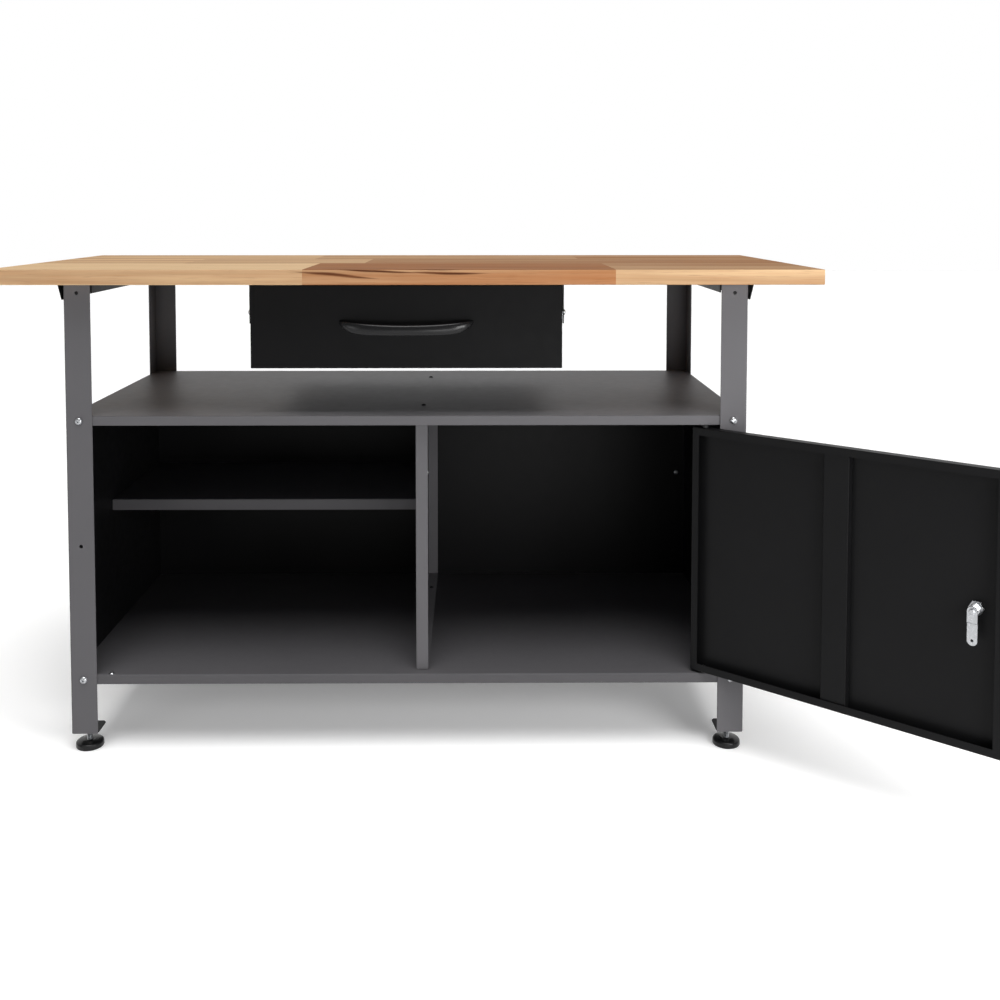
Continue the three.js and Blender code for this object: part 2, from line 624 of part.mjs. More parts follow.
function makeLockCam() {
  const half = LOCK_CAM_WIDTH / 2;
  const outline = new THREE.Shape();
  outline.moveTo(half, 0);
  outline.absarc(0, 0, half, 0, Math.PI, false);
  outline.lineTo(-half, half - LOCK_CAM_REACH);
  outline.absarc(0, half - LOCK_CAM_REACH, half, Math.PI, 2 * Math.PI, false);
  const plate = new THREE.ExtrudeGeometry(outline, {
    depth: LOCK_CAM_THICKNESS, bevelEnabled: false, curveSegments: HOLE_SIDES,
  });
  plate.rotateX(Math.PI / 2);
  plate.translate(0, CAM_BACK, 0);
  return cut(solidOf(plate), bar('y', LOCK_SPIGOT_DIAMETER + 2 * SEAT_GAP, 0, 2 * CAM_BACK, 6));
}

place(lock, 'lock_cam', makeLockCam(), ZINC);

function makeCamScrew() {
  const seat = CAM_BACK + SEAT_GAP;
  const head = bar('y', hexagon(CAM_SCREW_HEAD_DIAMETER), seat, seat + CAM_SCREW_HEAD_HEIGHT, 6);
  const shank = bar('y', CAM_SCREW_DIAMETER, CAM_BACK - CAM_SCREW_LENGTH, seat + SEAT_GAP, HOLE_SIDES);
  return join(head, shank);
}

place(lock, 'cam_screw', makeCamScrew(), ZINC);

// Drawer: folded front, tray, back plate and slides that run in channels on two hangers

const DRAWER_TOP = UNDERSIDE - DRAWER_TOP_GAP;
const DRAWER_BOTTOM = DRAWER_TOP - DRAWER_FRONT_HEIGHT;
const BOX_HALF_WIDTH = DRAWER_BOX_WIDTH / 2;
const DRAWER_HALF_WIDTH = BOX_HALF_WIDTH + DRAWER_FRONT_OVERLAP;
const BOX_BOTTOM = DRAWER_BOTTOM + DRAWER_BOX_LIFT;
const BOX_FRONT = FRONT + SHEET + SEAT_GAP;
const BOX_BACK = BOX_FRONT + DRAWER_BOX_DEPTH;
const HANGER_INSIDE = DRAWER_HALF_WIDTH + HANGER_SIDE_GAP;
const HANGER_BOTTOM = RAIL_TOP - HANGER_HEIGHT;
const HANGER_FRONT = FRONT + HANGER_SETBACK;
const RUNNER_FRONT = FRONT + DRAWER_FRONT_DEPTH + SLIDE_CLEARANCE;
const RUNNER_BOTTOM = HANGER_BOTTOM + RUNNER_LIFT;
const RUNNER_OUTSIDE = HANGER_INSIDE - SEAT_GAP;

for (const [side, sideSign] of SIDES) {
  const web = block(
    sideSign * HANGER_INSIDE, sideSign * (HANGER_INSIDE + HANGER_STEEL), HANGER_FRONT, BOX_BACK,
    HANGER_BOTTOM, RAIL_TOP,
  );
  const flange = block(
    sideSign * HANGER_INSIDE, sideSign * (HANGER_INSIDE + HANGER_FLANGE), HANGER_FRONT, BOX_BACK,
    RAIL_TOP - HANGER_STEEL, RAIL_TOP,
  );
  place(bench, `drawer_hanger_${side}`, join(web, flange), BLACK_PAINT);

  const channel = block(
    sideSign * (RUNNER_OUTSIDE - RUNNER_WIDTH), sideSign * RUNNER_OUTSIDE, RUNNER_FRONT, BOX_BACK,
    RUNNER_BOTTOM, RUNNER_BOTTOM + RUNNER_HEIGHT,
  );
  const channelHollow = block(
    sideSign * (RUNNER_OUTSIDE - 2 * RUNNER_WIDTH), sideSign * (RUNNER_OUTSIDE - RUNNER_STEEL),
    RUNNER_FRONT - RUNNER_STEEL, BOX_BACK + RUNNER_STEEL,
    RUNNER_BOTTOM + RUNNER_STEEL, RUNNER_BOTTOM + RUNNER_HEIGHT - RUNNER_STEEL,
  );
  place(bench, `drawer_runner_${side}`, cut(channel, channelHollow), ZINC);
}

const drawer = new THREE.Group();
bench.add(drawer);

const HANDLE_Z = DRAWER_TOP - HANDLE_DROP;

function makeDrawerFront() {
  const whole = block(
    -DRAWER_HALF_WIDTH, DRAWER_HALF_WIDTH, FRONT, FRONT + DRAWER_FRONT_DEPTH, DRAWER_BOTTOM, DRAWER_TOP,
  );
  const hollow = block(
    -DRAWER_HALF_WIDTH + SHEET, DRAWER_HALF_WIDTH - SHEET, FRONT + SHEET, FRONT + 2 * DRAWER_FRONT_DEPTH,
    DRAWER_BOTTOM + SHEET, DRAWER_TOP - SHEET,
  );
  return cut(whole, hollow);
}

place(drawer, 'drawer_front', makeDrawerFront(), BLACK_PAINT);

function makeDrawerTray() {
  const top = BOX_BOTTOM + DRAWER_BOX_HEIGHT;
  const whole = block(-BOX_HALF_WIDTH, BOX_HALF_WIDTH, BOX_FRONT, BOX_BACK, BOX_BOTTOM, top);
  const hollow = block(
    -BOX_HALF_WIDTH + SHEET, BOX_HALF_WIDTH - SHEET, BOX_FRONT - SHEET, BOX_BACK + SHEET,
    BOX_BOTTOM + SHEET, top + SHEET,
  );
  return cut(whole, hollow);
}

place(drawer, 'drawer_tray', makeDrawerTray(), BLACK_PAINT);

const BACK_PLATE_REACH = BOX_HALF_WIDTH - SHEET - SEAT_GAP;
place(
  drawer,
  'drawer_back',
  block(
    -BACK_PLATE_REACH, BACK_PLATE_REACH, BOX_BACK - 2 * SHEET, BOX_BACK - SHEET,
    BOX_BOTTOM + SHEET + SEAT_GAP, BOX_BOTTOM + DRAWER_BOX_HEIGHT - DRAWER_BACK_DROP,
  ),
  BLACK_PAINT,
);

for (const [side, sideSign] of SIDES) {
  const inside = BOX_HALF_WIDTH + SEAT_GAP;
  const outside = RUNNER_OUTSIDE - RUNNER_STEEL - SLIDE_CLEARANCE;
  const bottom = RUNNER_BOTTOM + RUNNER_STEEL + SLIDE_CLEARANCE;
  const top = RUNNER_BOTTOM + RUNNER_HEIGHT - RUNNER_STEEL - SLIDE_CLEARANCE;
  const whole = block(sideSign * inside, sideSign * outside, RUNNER_FRONT, BOX_BACK, bottom, top);
  const hollow = block(
    sideSign * (inside - RUNNER_WIDTH), sideSign * (outside - RUNNER_STEEL),
    RUNNER_FRONT - RUNNER_STEEL, BOX_BACK + RUNNER_STEEL, bottom + RUNNER_STEEL, top - RUNNER_STEEL,
  );
  place(drawer, `drawer_slide_${side}`, cut(whole, hollow), ZINC);
}

// Handle: a drooping plastic bow whose two ends stand on the drawer front
function makeHandle() {
  const half = (HANDLE_WIDTH - HANDLE_GRIP_THICKNESS) / 2;
  const root = FRONT + HANDLE_GRIP_THICKNESS;
  const bow = new THREE.CatmullRomCurve3([
    new THREE.Vector3(-half, root, HANDLE_Z),
    new THREE.Vector3(-half * 0.9, FRONT - HANDLE_REACH * 0.55, HANDLE_Z - HANDLE_SAG * 0.25),
    new THREE.Vector3(-half * 0.45, FRONT - HANDLE_REACH * 0.92, HANDLE_Z - HANDLE_SAG * 0.8),
    new THREE.Vector3(0, FRONT - HANDLE_REACH, HANDLE_Z - HANDLE_SAG),
    new THREE.Vector3(half * 0.45, FRONT - HANDLE_REACH * 0.92, HANDLE_Z - HANDLE_SAG * 0.8),
    new THREE.Vector3(half * 0.9, FRONT - HANDLE_REACH * 0.55, HANDLE_Z - HANDLE_SAG * 0.25),
    new THREE.Vector3(half, root, HANDLE_Z),
  ]);
  const section = new THREE.Shape();
  section.absellipse(0, 0, HANDLE_GRIP_HEIGHT / 2, HANDLE_GRIP_THICKNESS / 2, 0, 2 * Math.PI, false, 0);
  const grip = new THREE.ExtrudeGeometry(section, {
    extrudePath: bow, steps: HANDLE_STEPS, curveSegments: HANDLE_SIDES / 2,
  });
  const behindSkin = block(
    -HANDLE_WIDTH, HANDLE_WIDTH, FRONT - SEAT_GAP, FRONT + 4 * HANDLE_REACH, DRAWER_BOTTOM, DRAWER_TOP,
  );
  return cut(solidOf(grip), behindSkin);
}

place(drawer, 'drawer_handle', makeHandle(), BLACK_PLASTIC);

// Feet: a plate with a welded nut in each leg's corner, and a turning stud on a round pad

const FOOT_X = HALF_WIDTH - FOOT_INSET;
const FOOT_Y = BACK - FOOT_INSET;

function makeFootPlate({ sideSign, endSign }) {
  const outer = LEG_STEEL + SEAT_GAP;
  const outline = rectangleWithCutCorners(
    HALF_WIDTH - LEG_FLANGE, HALF_WIDTH - outer, BACK - LEG_FLANGE, BACK - outer, LEG_BEND_RADIUS,
  ).map(([x, y]) => [sideSign * x, endSign * y]);
  const plate = prism(outline, LEG_LIFT, LEG_LIFT + FOOT_PLATE_THICKNESS);
  const nutTop = LEG_LIFT + FOOT_PLATE_THICKNESS + FOOT_NUT_HEIGHT;
  const nut = bar('z', hexagon(FOOT_NUT_WIDTH), LEG_LIFT, nutTop, 6);
  const thread = bar('z', FOOT_STUD_DIAMETER + 2 * SEAT_GAP, 0, 2 * nutTop, ROUND_SIDES);
  const centre = [sideSign * FOOT_X, endSign * FOOT_Y, 0];
  return cut(join(plate, nut.translate(centre)), thread.translate(centre));
}

function makeFootPad() {
  const radius = FOOT_PAD_DIAMETER / 2;
  const socket = FOOT_STUD_DIAMETER / 2 + SEAT_GAP;
  const floor = FOOT_PAD_HEIGHT - FOOT_STUD_SEAT_DEPTH;
  return turned([
    [0, 0], [radius * 0.93, 0], [radius, FOOT_PAD_HEIGHT * 0.2], [radius, FOOT_PAD_HEIGHT - FOOT_PAD_CROWN],
    [radius * 0.9, FOOT_PAD_HEIGHT - FOOT_PAD_CROWN * 0.35], [radius * 0.6, FOOT_PAD_HEIGHT],
    [socket, FOOT_PAD_HEIGHT], [socket, floor], [0, floor],
  ], PAD_SIDES);
}

for (const corner of CORNERS) {
  place(bench, `foot_plate_${corner.name}`, makeFootPlate(corner), BLACK_PAINT);
  const foot = new THREE.Group();
  foot.position.set(corner.sideSign * FOOT_X, corner.endSign * FOOT_Y, 0);
  bench.add(foot);
  const studFoot = FOOT_PAD_HEIGHT - FOOT_STUD_SEAT_DEPTH + SEAT_GAP;
  const stud = bar('z', FOOT_STUD_DIAMETER, studFoot, FOOT_STUD_TOP, ROUND_SIDES);
  place(foot, `foot_stud_${corner.name}`, stud, ZINC);
  place(foot, `foot_pad_${corner.name}`, makeFootPad(), BLACK_PLASTIC);
}

export default bench;
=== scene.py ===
# Workshop bench with a hardwood top, a hanging drawer and a steel cabinet with one door.
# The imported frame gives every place; this script gives the bench its surfaces, its folded
# sheet work and its small fittings, in the order in which the bench is put together.

import json
import math

import bmesh
import bpy
from mathutils import Matrix, Vector


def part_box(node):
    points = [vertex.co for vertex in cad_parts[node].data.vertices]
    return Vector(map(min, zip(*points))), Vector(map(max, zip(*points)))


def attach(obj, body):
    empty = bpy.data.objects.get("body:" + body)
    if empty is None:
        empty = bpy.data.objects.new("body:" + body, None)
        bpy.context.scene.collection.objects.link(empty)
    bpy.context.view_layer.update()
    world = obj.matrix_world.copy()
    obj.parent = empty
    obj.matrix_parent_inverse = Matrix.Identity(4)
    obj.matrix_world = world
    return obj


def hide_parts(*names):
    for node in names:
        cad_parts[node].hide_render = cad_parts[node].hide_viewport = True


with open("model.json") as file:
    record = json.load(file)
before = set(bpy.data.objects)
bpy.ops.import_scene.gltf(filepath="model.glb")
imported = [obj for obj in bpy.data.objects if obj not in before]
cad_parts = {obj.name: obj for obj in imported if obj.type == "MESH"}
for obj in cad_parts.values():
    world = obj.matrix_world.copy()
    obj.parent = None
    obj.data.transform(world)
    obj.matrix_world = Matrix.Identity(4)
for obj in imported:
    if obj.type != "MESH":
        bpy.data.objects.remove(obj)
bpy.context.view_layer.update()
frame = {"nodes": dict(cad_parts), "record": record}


# Camera
# It stands a little right of the middle, just above the worktop's height, and looks slightly
# down, with the lens shifted as the photograph's framing is.
bpy.context.scene.view_settings.view_transform = "Standard"
camera_data = bpy.data.cameras.new("camera")
camera_data.sensor_width = 36.0
camera_data.lens = 39.83
camera_data.shift_x = 0.0175
camera_data.shift_y = -0.232
camera = bpy.data.objects.new("camera", camera_data)
camera.location = (0.1179, -2.1735, 0.9502)
camera.rotation_euler = (math.radians(87.0), 0.0, math.radians(-0.40))
bpy.context.scene.collection.objects.link(camera)
bpy.context.scene.camera = camera


# Floor and light
# A plain white studio floor that keeps the bench's shadow, a white surround, a broad light
# from above the front, and soft boxes at the right, the left, low in front and behind.
def start_material(name):
    material = bpy.data.materials.new(name)
    material.use_nodes = True
    return material, material.node_tree.nodes, material.node_tree.links


def calculate(nodes, links, operation, first, second, clamp=False):
    step = nodes.new("ShaderNodeMath")
    step.operation = operation
    step.use_clamp = clamp
    for socket, value in zip(step.inputs, (first, second)):
        if isinstance(value, bpy.types.NodeSocket):
            links.new(value, socket)
        else:
            socket.default_value = value
    return step.outputs[0]


def seen_in_gloss(nodes, links, rays):
    return calculate(
        nodes, links, "MAXIMUM", rays.outputs["Is Glossy Ray"], rays.outputs["Is Transmission Ray"]
    )


FLOOR_SIZE = 30.0
FLOOR_WHITE = (0.94, 0.94, 0.94, 1)
FLOOR_GLOW = 0.18
floor_bm = bmesh.new()
bmesh.ops.create_grid(floor_bm, x_segments=1, y_segments=1, size=FLOOR_SIZE / 2)
floor_mesh = bpy.data.meshes.new("studio_floor")
floor_bm.to_mesh(floor_mesh)
floor_bm.free()
floor = bpy.data.objects.new("studio_floor", floor_mesh)
bpy.context.scene.collection.objects.link(floor)
floor_paint, nodes, links = start_material("studio_floor")
shader = nodes["Principled BSDF"]
shader.inputs["Base Color"].default_value = FLOOR_WHITE
shader.inputs["Roughness"].default_value = 0.9
rays = nodes.new("ShaderNodeLightPath")
mirrored = seen_in_gloss(nodes, links, rays)
shown = calculate(nodes, links, "MAXIMUM", rays.outputs["Is Camera Ray"], mirrored)
glow = nodes.new("ShaderNodeEmission")
links.new(calculate(nodes, links, "MULTIPLY", shown, FLOOR_GLOW), glow.inputs["Strength"])
both = nodes.new("ShaderNodeAddShader")
links.new(shader.outputs[0], both.inputs[0])
links.new(glow.outputs[0], both.inputs[1])
links.new(both.outputs[0], nodes["Material Output"].inputs["Surface"])
floor_mesh.materials.append(floor_paint)

SURROUND_LIGHT = 0.16
ROOM_BEHIND_CAMERA = 0.20
BACKDROP_BLEND = 0.3
world = bpy.data.worlds.new("white_surround")
bpy.context.scene.world = world
world.use_nodes = True
nodes, links = world.node_tree.nodes, world.node_tree.links
rays = nodes.new("ShaderNodeLightPath")
direction = nodes.new("ShaderNodeTexCoord")
axes = nodes.new("ShaderNodeSeparateXYZ")
backdrop = nodes.new("ShaderNodeMapRange")
backdrop.inputs["From Min"].default_value = -BACKDROP_BLEND
backdrop.inputs["From Max"].default_value = BACKDROP_BLEND
backdrop.inputs["To Min"].default_value = ROOM_BEHIND_CAMERA
links.new(direction.outputs["Generated"], axes.inputs["Vector"])
links.new(axes.outputs["Y"], backdrop.inputs["Value"])
lighting = nodes.new("ShaderNodeMapRange")
lighting.inputs["To Min"].default_value = SURROUND_LIGHT
links.new(seen_in_gloss(nodes, links, rays), lighting.inputs["Value"])
links.new(backdrop.outputs["Result"], lighting.inputs["To Max"])
level = nodes.new("ShaderNodeMapRange")
links.new(rays.outputs["Is Camera Ray"], level.inputs["Value"])
links.new(lighting.outputs["Result"], level.inputs["To Min"])
links.new(level.outputs["Result"], nodes["Background"].inputs["Strength"])
nodes["Background"].inputs["Color"].default_value = (1, 1, 1, 1)


def facing(direction):
    return Vector(direction).to_track_quat("-Z", "Y").to_euler()


HIGH_LIGHT_FALL = (-0.12, 0.85, -2.85)
sky_data = bpy.data.lights.new("high_softlight", "SUN")
sky_data.energy = 2.5
sky_data.angle = math.radians(40)
sky = bpy.data.objects.new("high_softlight", sky_data)
sky.rotation_euler = facing(HIGH_LIGHT_FALL)
bpy.context.scene.collection.objects.link(sky)

# Each soft box: its name, place, aim, width, height and watts.
LAMPS = [
    ("right_softbox", (1.35, -1.6, 0.84), (0.62, -0.27, 0.76), 0.8, 0.5, 19),
    ("left_softbox", (-1.5, -1.6, 0.80), (-0.62, -0.27, 0.76), 0.8, 0.5, 3),
    ("front_softbox", (1.0, -3.0, 0.30), (0.3, 0.2, 0.40), 1.8, 0.5, 14),
    ("back_softbox", (0.0, 2.6, 2.4), (0.0, 0.0, 0.7), 2.6, 1.2, 12),
]
for name, place, aim, width, height, watts in LAMPS:
    lamp_data = bpy.data.lights.new(name, "AREA")
    lamp_data.shape = "RECTANGLE"
    lamp_data.size = width
    lamp_data.size_y = height
    lamp_data.energy = watts
    lamp = bpy.data.objects.new(name, lamp_data)
    lamp.location = place
    lamp.rotation_euler = facing(Vector(aim) - Vector(place))
    bpy.context.scene.collection.objects.link(lamp)

# Light linking keeps the two side boxes' light off the pieces that stand in shade.
shaded = bpy.data.collections.new("shaded_from_side_boxes")
for name in ("right_softbox", "left_softbox"):
    bpy.data.objects[name].light_linking.receiver_collection = shaded


def shade(made):
    shaded.objects.link(made)
    for entry in shaded.collection_objects:
        entry.light_linking.link_state = "EXCLUDE"


# Grey legs
# Four lengths of two-millimetre steel angle, punched on the middle line of each flange
# and powder coated graphite grey. Their solids stay, with their cut edges eased.
def noise(nodes, links, place, scale, detail=2.0, stretch=(1, 1, 1)):
    mapping = nodes.new("ShaderNodeMapping")
    mapping.inputs["Scale"].default_value = stretch
    texture = nodes.new("ShaderNodeTexNoise")
    texture.inputs["Scale"].default_value = scale
    texture.inputs["Detail"].default_value = detail
    links.new(place, mapping.inputs["Vector"])
    links.new(mapping.outputs["Vector"], texture.inputs["Vector"])
    return texture.outputs["Fac"]


def spread(nodes, links, value, low, high, source=(0.3, 0.7)):
    change = nodes.new("ShaderNodeMapRange")
    change.inputs["From Min"].default_value = source[0]
    change.inputs["From Max"].default_value = source[1]
    change.inputs["To Min"].default_value = low
    change.inputs["To Max"].default_value = high
    links.new(value, change.inputs["Value"])
    return change.outputs["Result"]


def blend_colours(nodes, links, share, first, second):
    mix = nodes.new("ShaderNodeMix")
    mix.data_type = "RGBA"
    links.new(share, mix.inputs["Factor"])
    for socket, colour in ((mix.inputs["A"], first), (mix.inputs["B"], second)):
        if isinstance(colour, bpy.types.NodeSocket):
            links.new(colour, socket)
        else:
            socket.default_value = (*colour, 1)
    return mix.outputs["Result"]


def bumped(nodes, links, shader, height, strength, distance):
    bump = nodes.new("ShaderNodeBump")
    bump.inputs["Strength"].default_value = strength
    bump.inputs["Distance"].default_value = distance
    links.new(height, bump.inputs["Height"])
    links.new(bump.outputs["Normal"], shader.inputs["Normal"])


def powder_coat(name, light_tone, dark_tone, smooth, rough, gloss):
    material, nodes, links = start_material(name)
    shader = nodes["Principled BSDF"]
    place = nodes.new("ShaderNodeTexCoord").outputs["Object"]
    cloud = noise(nodes, links, place, 7.0, 3.0)
    tone = blend_colours(nodes, links, spread(nodes, links, cloud, 0, 1), light_tone, dark_tone)
    links.new(tone, shader.inputs["Base Color"])
    shader.inputs["Specular IOR Level"].default_value = gloss
    sheen = noise(nodes, links, place, 60.0, 2.0)
    links.new(spread(nodes, links, sheen, smooth, rough), shader.inputs["Roughness"])
    bumped(nodes, links, shader, noise(nodes, links, place, 850.0, 1.0), 0.10, 0.0003)
    return material


MM = 0.001
CORNERS = [(end, side) for end in ("front", "rear") for side in ("left", "right")]
CUT_EDGE = 0.4 * MM
GREY_LIGHT = (0.108, 0.105, 0.111)
GREY_DARK = (0.103, 0.100, 0.106)
grey_paint = powder_coat("grey_powder_coat", GREY_LIGHT, GREY_DARK, 0.46, 0.50, 0.11)


def ease_edges(node, width, angle=40):
    weld = node.modifiers.new("weld", "WELD")
    weld.merge_threshold = 0.00001
    bevel = node.modifiers.new("eased_edges", "BEVEL")
    bevel.width = width
    bevel.segments = 2
    bevel.limit_method = "ANGLE"
    bevel.angle_limit = math.radians(angle)
    bevel.use_clamp_overlap = True


def dress(name, material, edge=None):
    node = frame["nodes"][name]
    node.data.materials.clear()
    node.data.materials.append(material)
    if edge:
        ease_edges(node, edge)


for end, side in CORNERS:
    dress(f"leg_{end}_{side}", grey_paint, CUT_EDGE)
    if end == "rear":
        shade(frame["nodes"][f"leg_{end}_{side}"])


# Top rails
# Two channels folded from two-millimetre steel and painted black. They sit over the leg
# tops, one at each end of the bench, and are screwed up into the worktop.
BLACK_LIGHT = (0.0056, 0.0056, 0.0060)
BLACK_DARK = (0.0048, 0.0048, 0.0051)
black_paint = powder_coat("black_powder_coat", BLACK_LIGHT, BLACK_DARK, 0.38, 0.44, 0.10)
for side in ("left", "right"):
    dress(f"top_rail_{side}", black_paint, CUT_EDGE)


# Worktop
# One thick board glued from three rows of hardwood planks, butt-jointed along each row,
# planed flush, its edges eased and the whole oiled. Each plank has its own tone and grain.
def box(bm, low, high):
    size = [h - l for l, h in zip(low, high)]
    middle = [(l + h) / 2 for l, h in zip(low, high)]
    matrix = Matrix.Translation(middle) @ Matrix.Diagonal((*size, 1))
    return bmesh.ops.create_cube(bm, size=1.0, matrix=matrix)["verts"]


def piece(name, bm, material, body, stands_for=(), smooth_angle=40):
    mesh = bpy.data.meshes.new(name)
    bm.to_mesh(mesh)
    bm.free()
    mesh.materials.append(material)
    mesh.polygons.foreach_set("use_smooth", [True] * len(mesh.polygons))
    mesh.set_sharp_from_angle(angle=math.radians(smooth_angle))
    made = bpy.data.objects.new(name, mesh)
    bpy.context.scene.collection.objects.link(made)
    even = made.modifiers.new("even_shading", "WEIGHTED_NORMAL")
    even.keep_sharp = True
    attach(made, body)
    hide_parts(*stands_for)
    return made


def round_edges(bm, edges, radius, segments=3):
    bmesh.ops.bevel(
        bm, geom=edges, offset=radius, segments=segments, profile=0.5,
        affect="EDGES", material=-1, clamp_overlap=True,
    )


# Each row: its back edge as a share of the depth, then its planks from left to right: the
# right-hand end in mm, and the tone, redness and seed of its face and of its edge.
PLANK_ROWS = [
    (0.37, [
        (-173, (0.00, 0.02, 0.11), (0.44, 0.08, 0.19)),
        (356, (1.00, 0.26, 0.37), (0.72, 0.36, 0.59)),
        (720, (0.70, 0.08, 0.53), (0.47, 0.02, 0.53)),
    ]),
    (0.68, [
        (-430, (0.28, 0.12, 0.71), (0.28, 0.12, 0.71)),
        (-90, (0.46, 0.08, 0.23), (0.46, 0.08, 0.23)),
        (720, (0.84, 0.14, 0.89), (0.55, 0.14, 0.89)),
    ]),
    (1.00, [
        (-210, (0.44, 0.05, 0.31), (0.44, 0.05, 0.31)),
        (330, (0.58, 0.06, 0.67), (0.58, 0.06, 0.67)),
        (720, (0.74, 0.10, 0.97), (0.64, 0.10, 0.97)),
    ]),
]
TOP_EDGE_RADIUS = 1.6 * MM
top_low, top_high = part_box("worktop")
depth = top_high.y - top_low.y
bm = bmesh.new()
box(bm, top_low, top_high)
round_edges(bm, bm.edges[:], TOP_EDGE_RADIUS)


def saw(bm, pieces, point, across):
    bmesh.ops.bisect_plane(bm, geom=pieces, plane_co=point, plane_no=across, dist=1e-7)


for back_share, planks in PLANK_ROWS[:-1]:
    everything = bm.verts[:] + bm.edges[:] + bm.faces[:]
    saw(bm, everything, (0, top_low.y + back_share * depth, 0), (0, 1, 0))
row_front = top_low.y - MM
for back_share, planks in PLANK_ROWS:
    row_back = top_low.y + back_share * depth
    for plank in planks[:-1]:
        row = [f for f in bm.faces if row_front < f.calc_center_median().y < row_back]
        around = {e for f in row for e in f.edges} | {v for f in row for v in f.verts} | set(row)
        saw(bm, list(around), (plank[0] * MM, 0, 0), (1, 0, 0))
    row_front = row_back
plank_layer = bm.loops.layers.float_color.new("plank")
bm.normal_update()
for face in bm.faces:
    middle = face.calc_center_median()
    share = (middle.y - top_low.y) / depth
    planks = next(planks for back_share, planks in PLANK_ROWS if share <= back_share + 1e-6)
    number = next((n for n, plank in enumerate(planks) if middle.x <= plank[0] * MM), len(planks) - 1)
    flat = abs(face.normal.z) > 0.7
    for loop in face.loops:
        loop[plank_layer] = (*planks[number][1 if flat else 2], 1)

hardwood, nodes, links = start_material("oiled_hardwood")
shader = nodes["Principled BSDF"]
place = nodes.new("ShaderNodeTexCoord").outputs["Object"]
plank = nodes.new("ShaderNodeAttribute")
plank.attribute_name = "plank"
parts = nodes.new("ShaderNodeSeparateColor")
links.new(plank.outputs["Color"], parts.inputs["Color"])
PLANK_SHIFTS = (("X", 17.0), ("Y", 5.0), ("Z", 3.0))
slide = nodes.new("ShaderNodeCombineXYZ")
for socket, reach in PLANK_SHIFTS:
    links.new(calculate(nodes, links, "MULTIPLY", parts.outputs["Blue"], reach), slide.inputs[socket])
moved = nodes.new("ShaderNodeVectorMath")
moved.operation = "ADD"
links.new(place, moved.inputs[0])
links.new(slide.outputs["Vector"], moved.inputs[1])
grain_place = moved.outputs["Vector"]
LIGHT_WOOD = (0.700, 0.495, 0.290)
BROWN_WOOD = (0.235, 0.112, 0.050)
RED_WOOD = (0.43, 0.160, 0.060)
HEART_WOOD = (0.080, 0.028, 0.013)
figure = noise(nodes, links, grain_place, 5.0, 4.0, (0.16, 6.0, 6.0))
fibre = noise(nodes, links, grain_place, 60.0, 3.0, (0.16, 7.0, 7.0))
pores = noise(nodes, links, grain_place, 300.0, 1.0, (0.07, 2.2, 2.2))
smudges = noise(nodes, links, grain_place, 11.0, 3.0, (0.20, 9.0, 9.0))
figured = calculate(
    nodes, links, "ADD",
    spread(nodes, links, figure, -0.24, 0.24),
    spread(nodes, links, smudges, -0.17, 0.17),
)
tone = calculate(nodes, links, "ADD", parts.outputs["Red"], figured, clamp=True)
colour = blend_colours(nodes, links, tone, LIGHT_WOOD, BROWN_WOOD)
redness = spread(nodes, links, figure, 0.35, 1.3)
red_share = calculate(nodes, links, "MULTIPLY", parts.outputs["Green"], redness, clamp=True)
colour = blend_colours(nodes, links, red_share, colour, RED_WOOD)

# Dark heart streaks: middle along the bench, half length, distance from the top front edge
# over the face (or down the edge, below zero), slope, half thickness, and depth of colour.
HEART_STREAKS = [
    (-117, 72, -9, -0.090, 3.2, 1.00),
    (-60, 108, -2, -0.052, 2.3, 1.00),
    (40, 62, 1, 0.000, 2.6, 1.00),
    (70, 75, -6, -0.010, 2.6, 1.00),
    (-90, 90, 46, -0.120, 6.0, 0.60),
    (120, 150, 90, -0.080, 5.0, 0.55),
    (285, 90, 8, -0.020, 4.5, 0.70),
    (230, 130, 430, 0.010, 4.5, 0.65),
    (-330, 100, 500, -0.030, 4.0, 0.45),
    (470, 120, 330, 0.040, 5.0, 0.50),
]
axes = nodes.new("ShaderNodeSeparateXYZ")
links.new(place, axes.inputs["Vector"])
unrolled = calculate(nodes, links, "ADD", axes.outputs["Y"], axes.outputs["Z"])
unrolled = calculate(nodes, links, "SUBTRACT", unrolled, top_low.y + top_high.z)
STREAK_WANDER = 1.4 * MM
waves = noise(nodes, links, place, 9.0, 1.0, (1.0, 0.3, 0.3))
wander = spread(nodes, links, waves, -STREAK_WANDER, STREAK_WANDER)
wander = calculate(nodes, links, "ADD", unrolled, wander)
heart_streak = 0.0
for middle, half_length, offset, slope, half_thickness, darkness in HEART_STREAKS:
    along = calculate(nodes, links, "SUBTRACT", axes.outputs["X"], middle * MM)
    lean = calculate(nodes, links, "MULTIPLY", along, slope)
    away = calculate(nodes, links, "SUBTRACT", wander, lean)
    away = calculate(nodes, links, "SUBTRACT", away, offset * MM)
    away = calculate(nodes, links, "ABSOLUTE", away, 0.0)
    end = calculate(nodes, links, "DIVIDE", along, half_length * MM)
    end = calculate(nodes, links, "MULTIPLY", end, end)
    taper = calculate(nodes, links, "SUBTRACT", 1.0, end)
    width = calculate(nodes, links, "MULTIPLY", taper, half_thickness * MM)
    inside = calculate(nodes, links, "SUBTRACT", width, away)
    soft_edge = (-0.2 * half_thickness * MM, 0.6 * half_thickness * MM)
    inside = spread(nodes, links, inside, 0.0, darkness, soft_edge)
    heart_streak = calculate(nodes, links, "MAXIMUM", inside, heart_streak)
colour = blend_colours(nodes, links, heart_streak, colour, HEART_WOOD)
fibre_share = spread(nodes, links, fibre, 0.0, 0.22, (0.45, 0.75))
colour = blend_colours(nodes, links, fibre_share, colour, RED_WOOD)
pore_share = spread(nodes, links, pores, 0.0, 0.22, (0.62, 0.72))
colour = blend_colours(nodes, links, pore_share, colour, HEART_WOOD)
links.new(colour, shader.inputs["Base Color"])
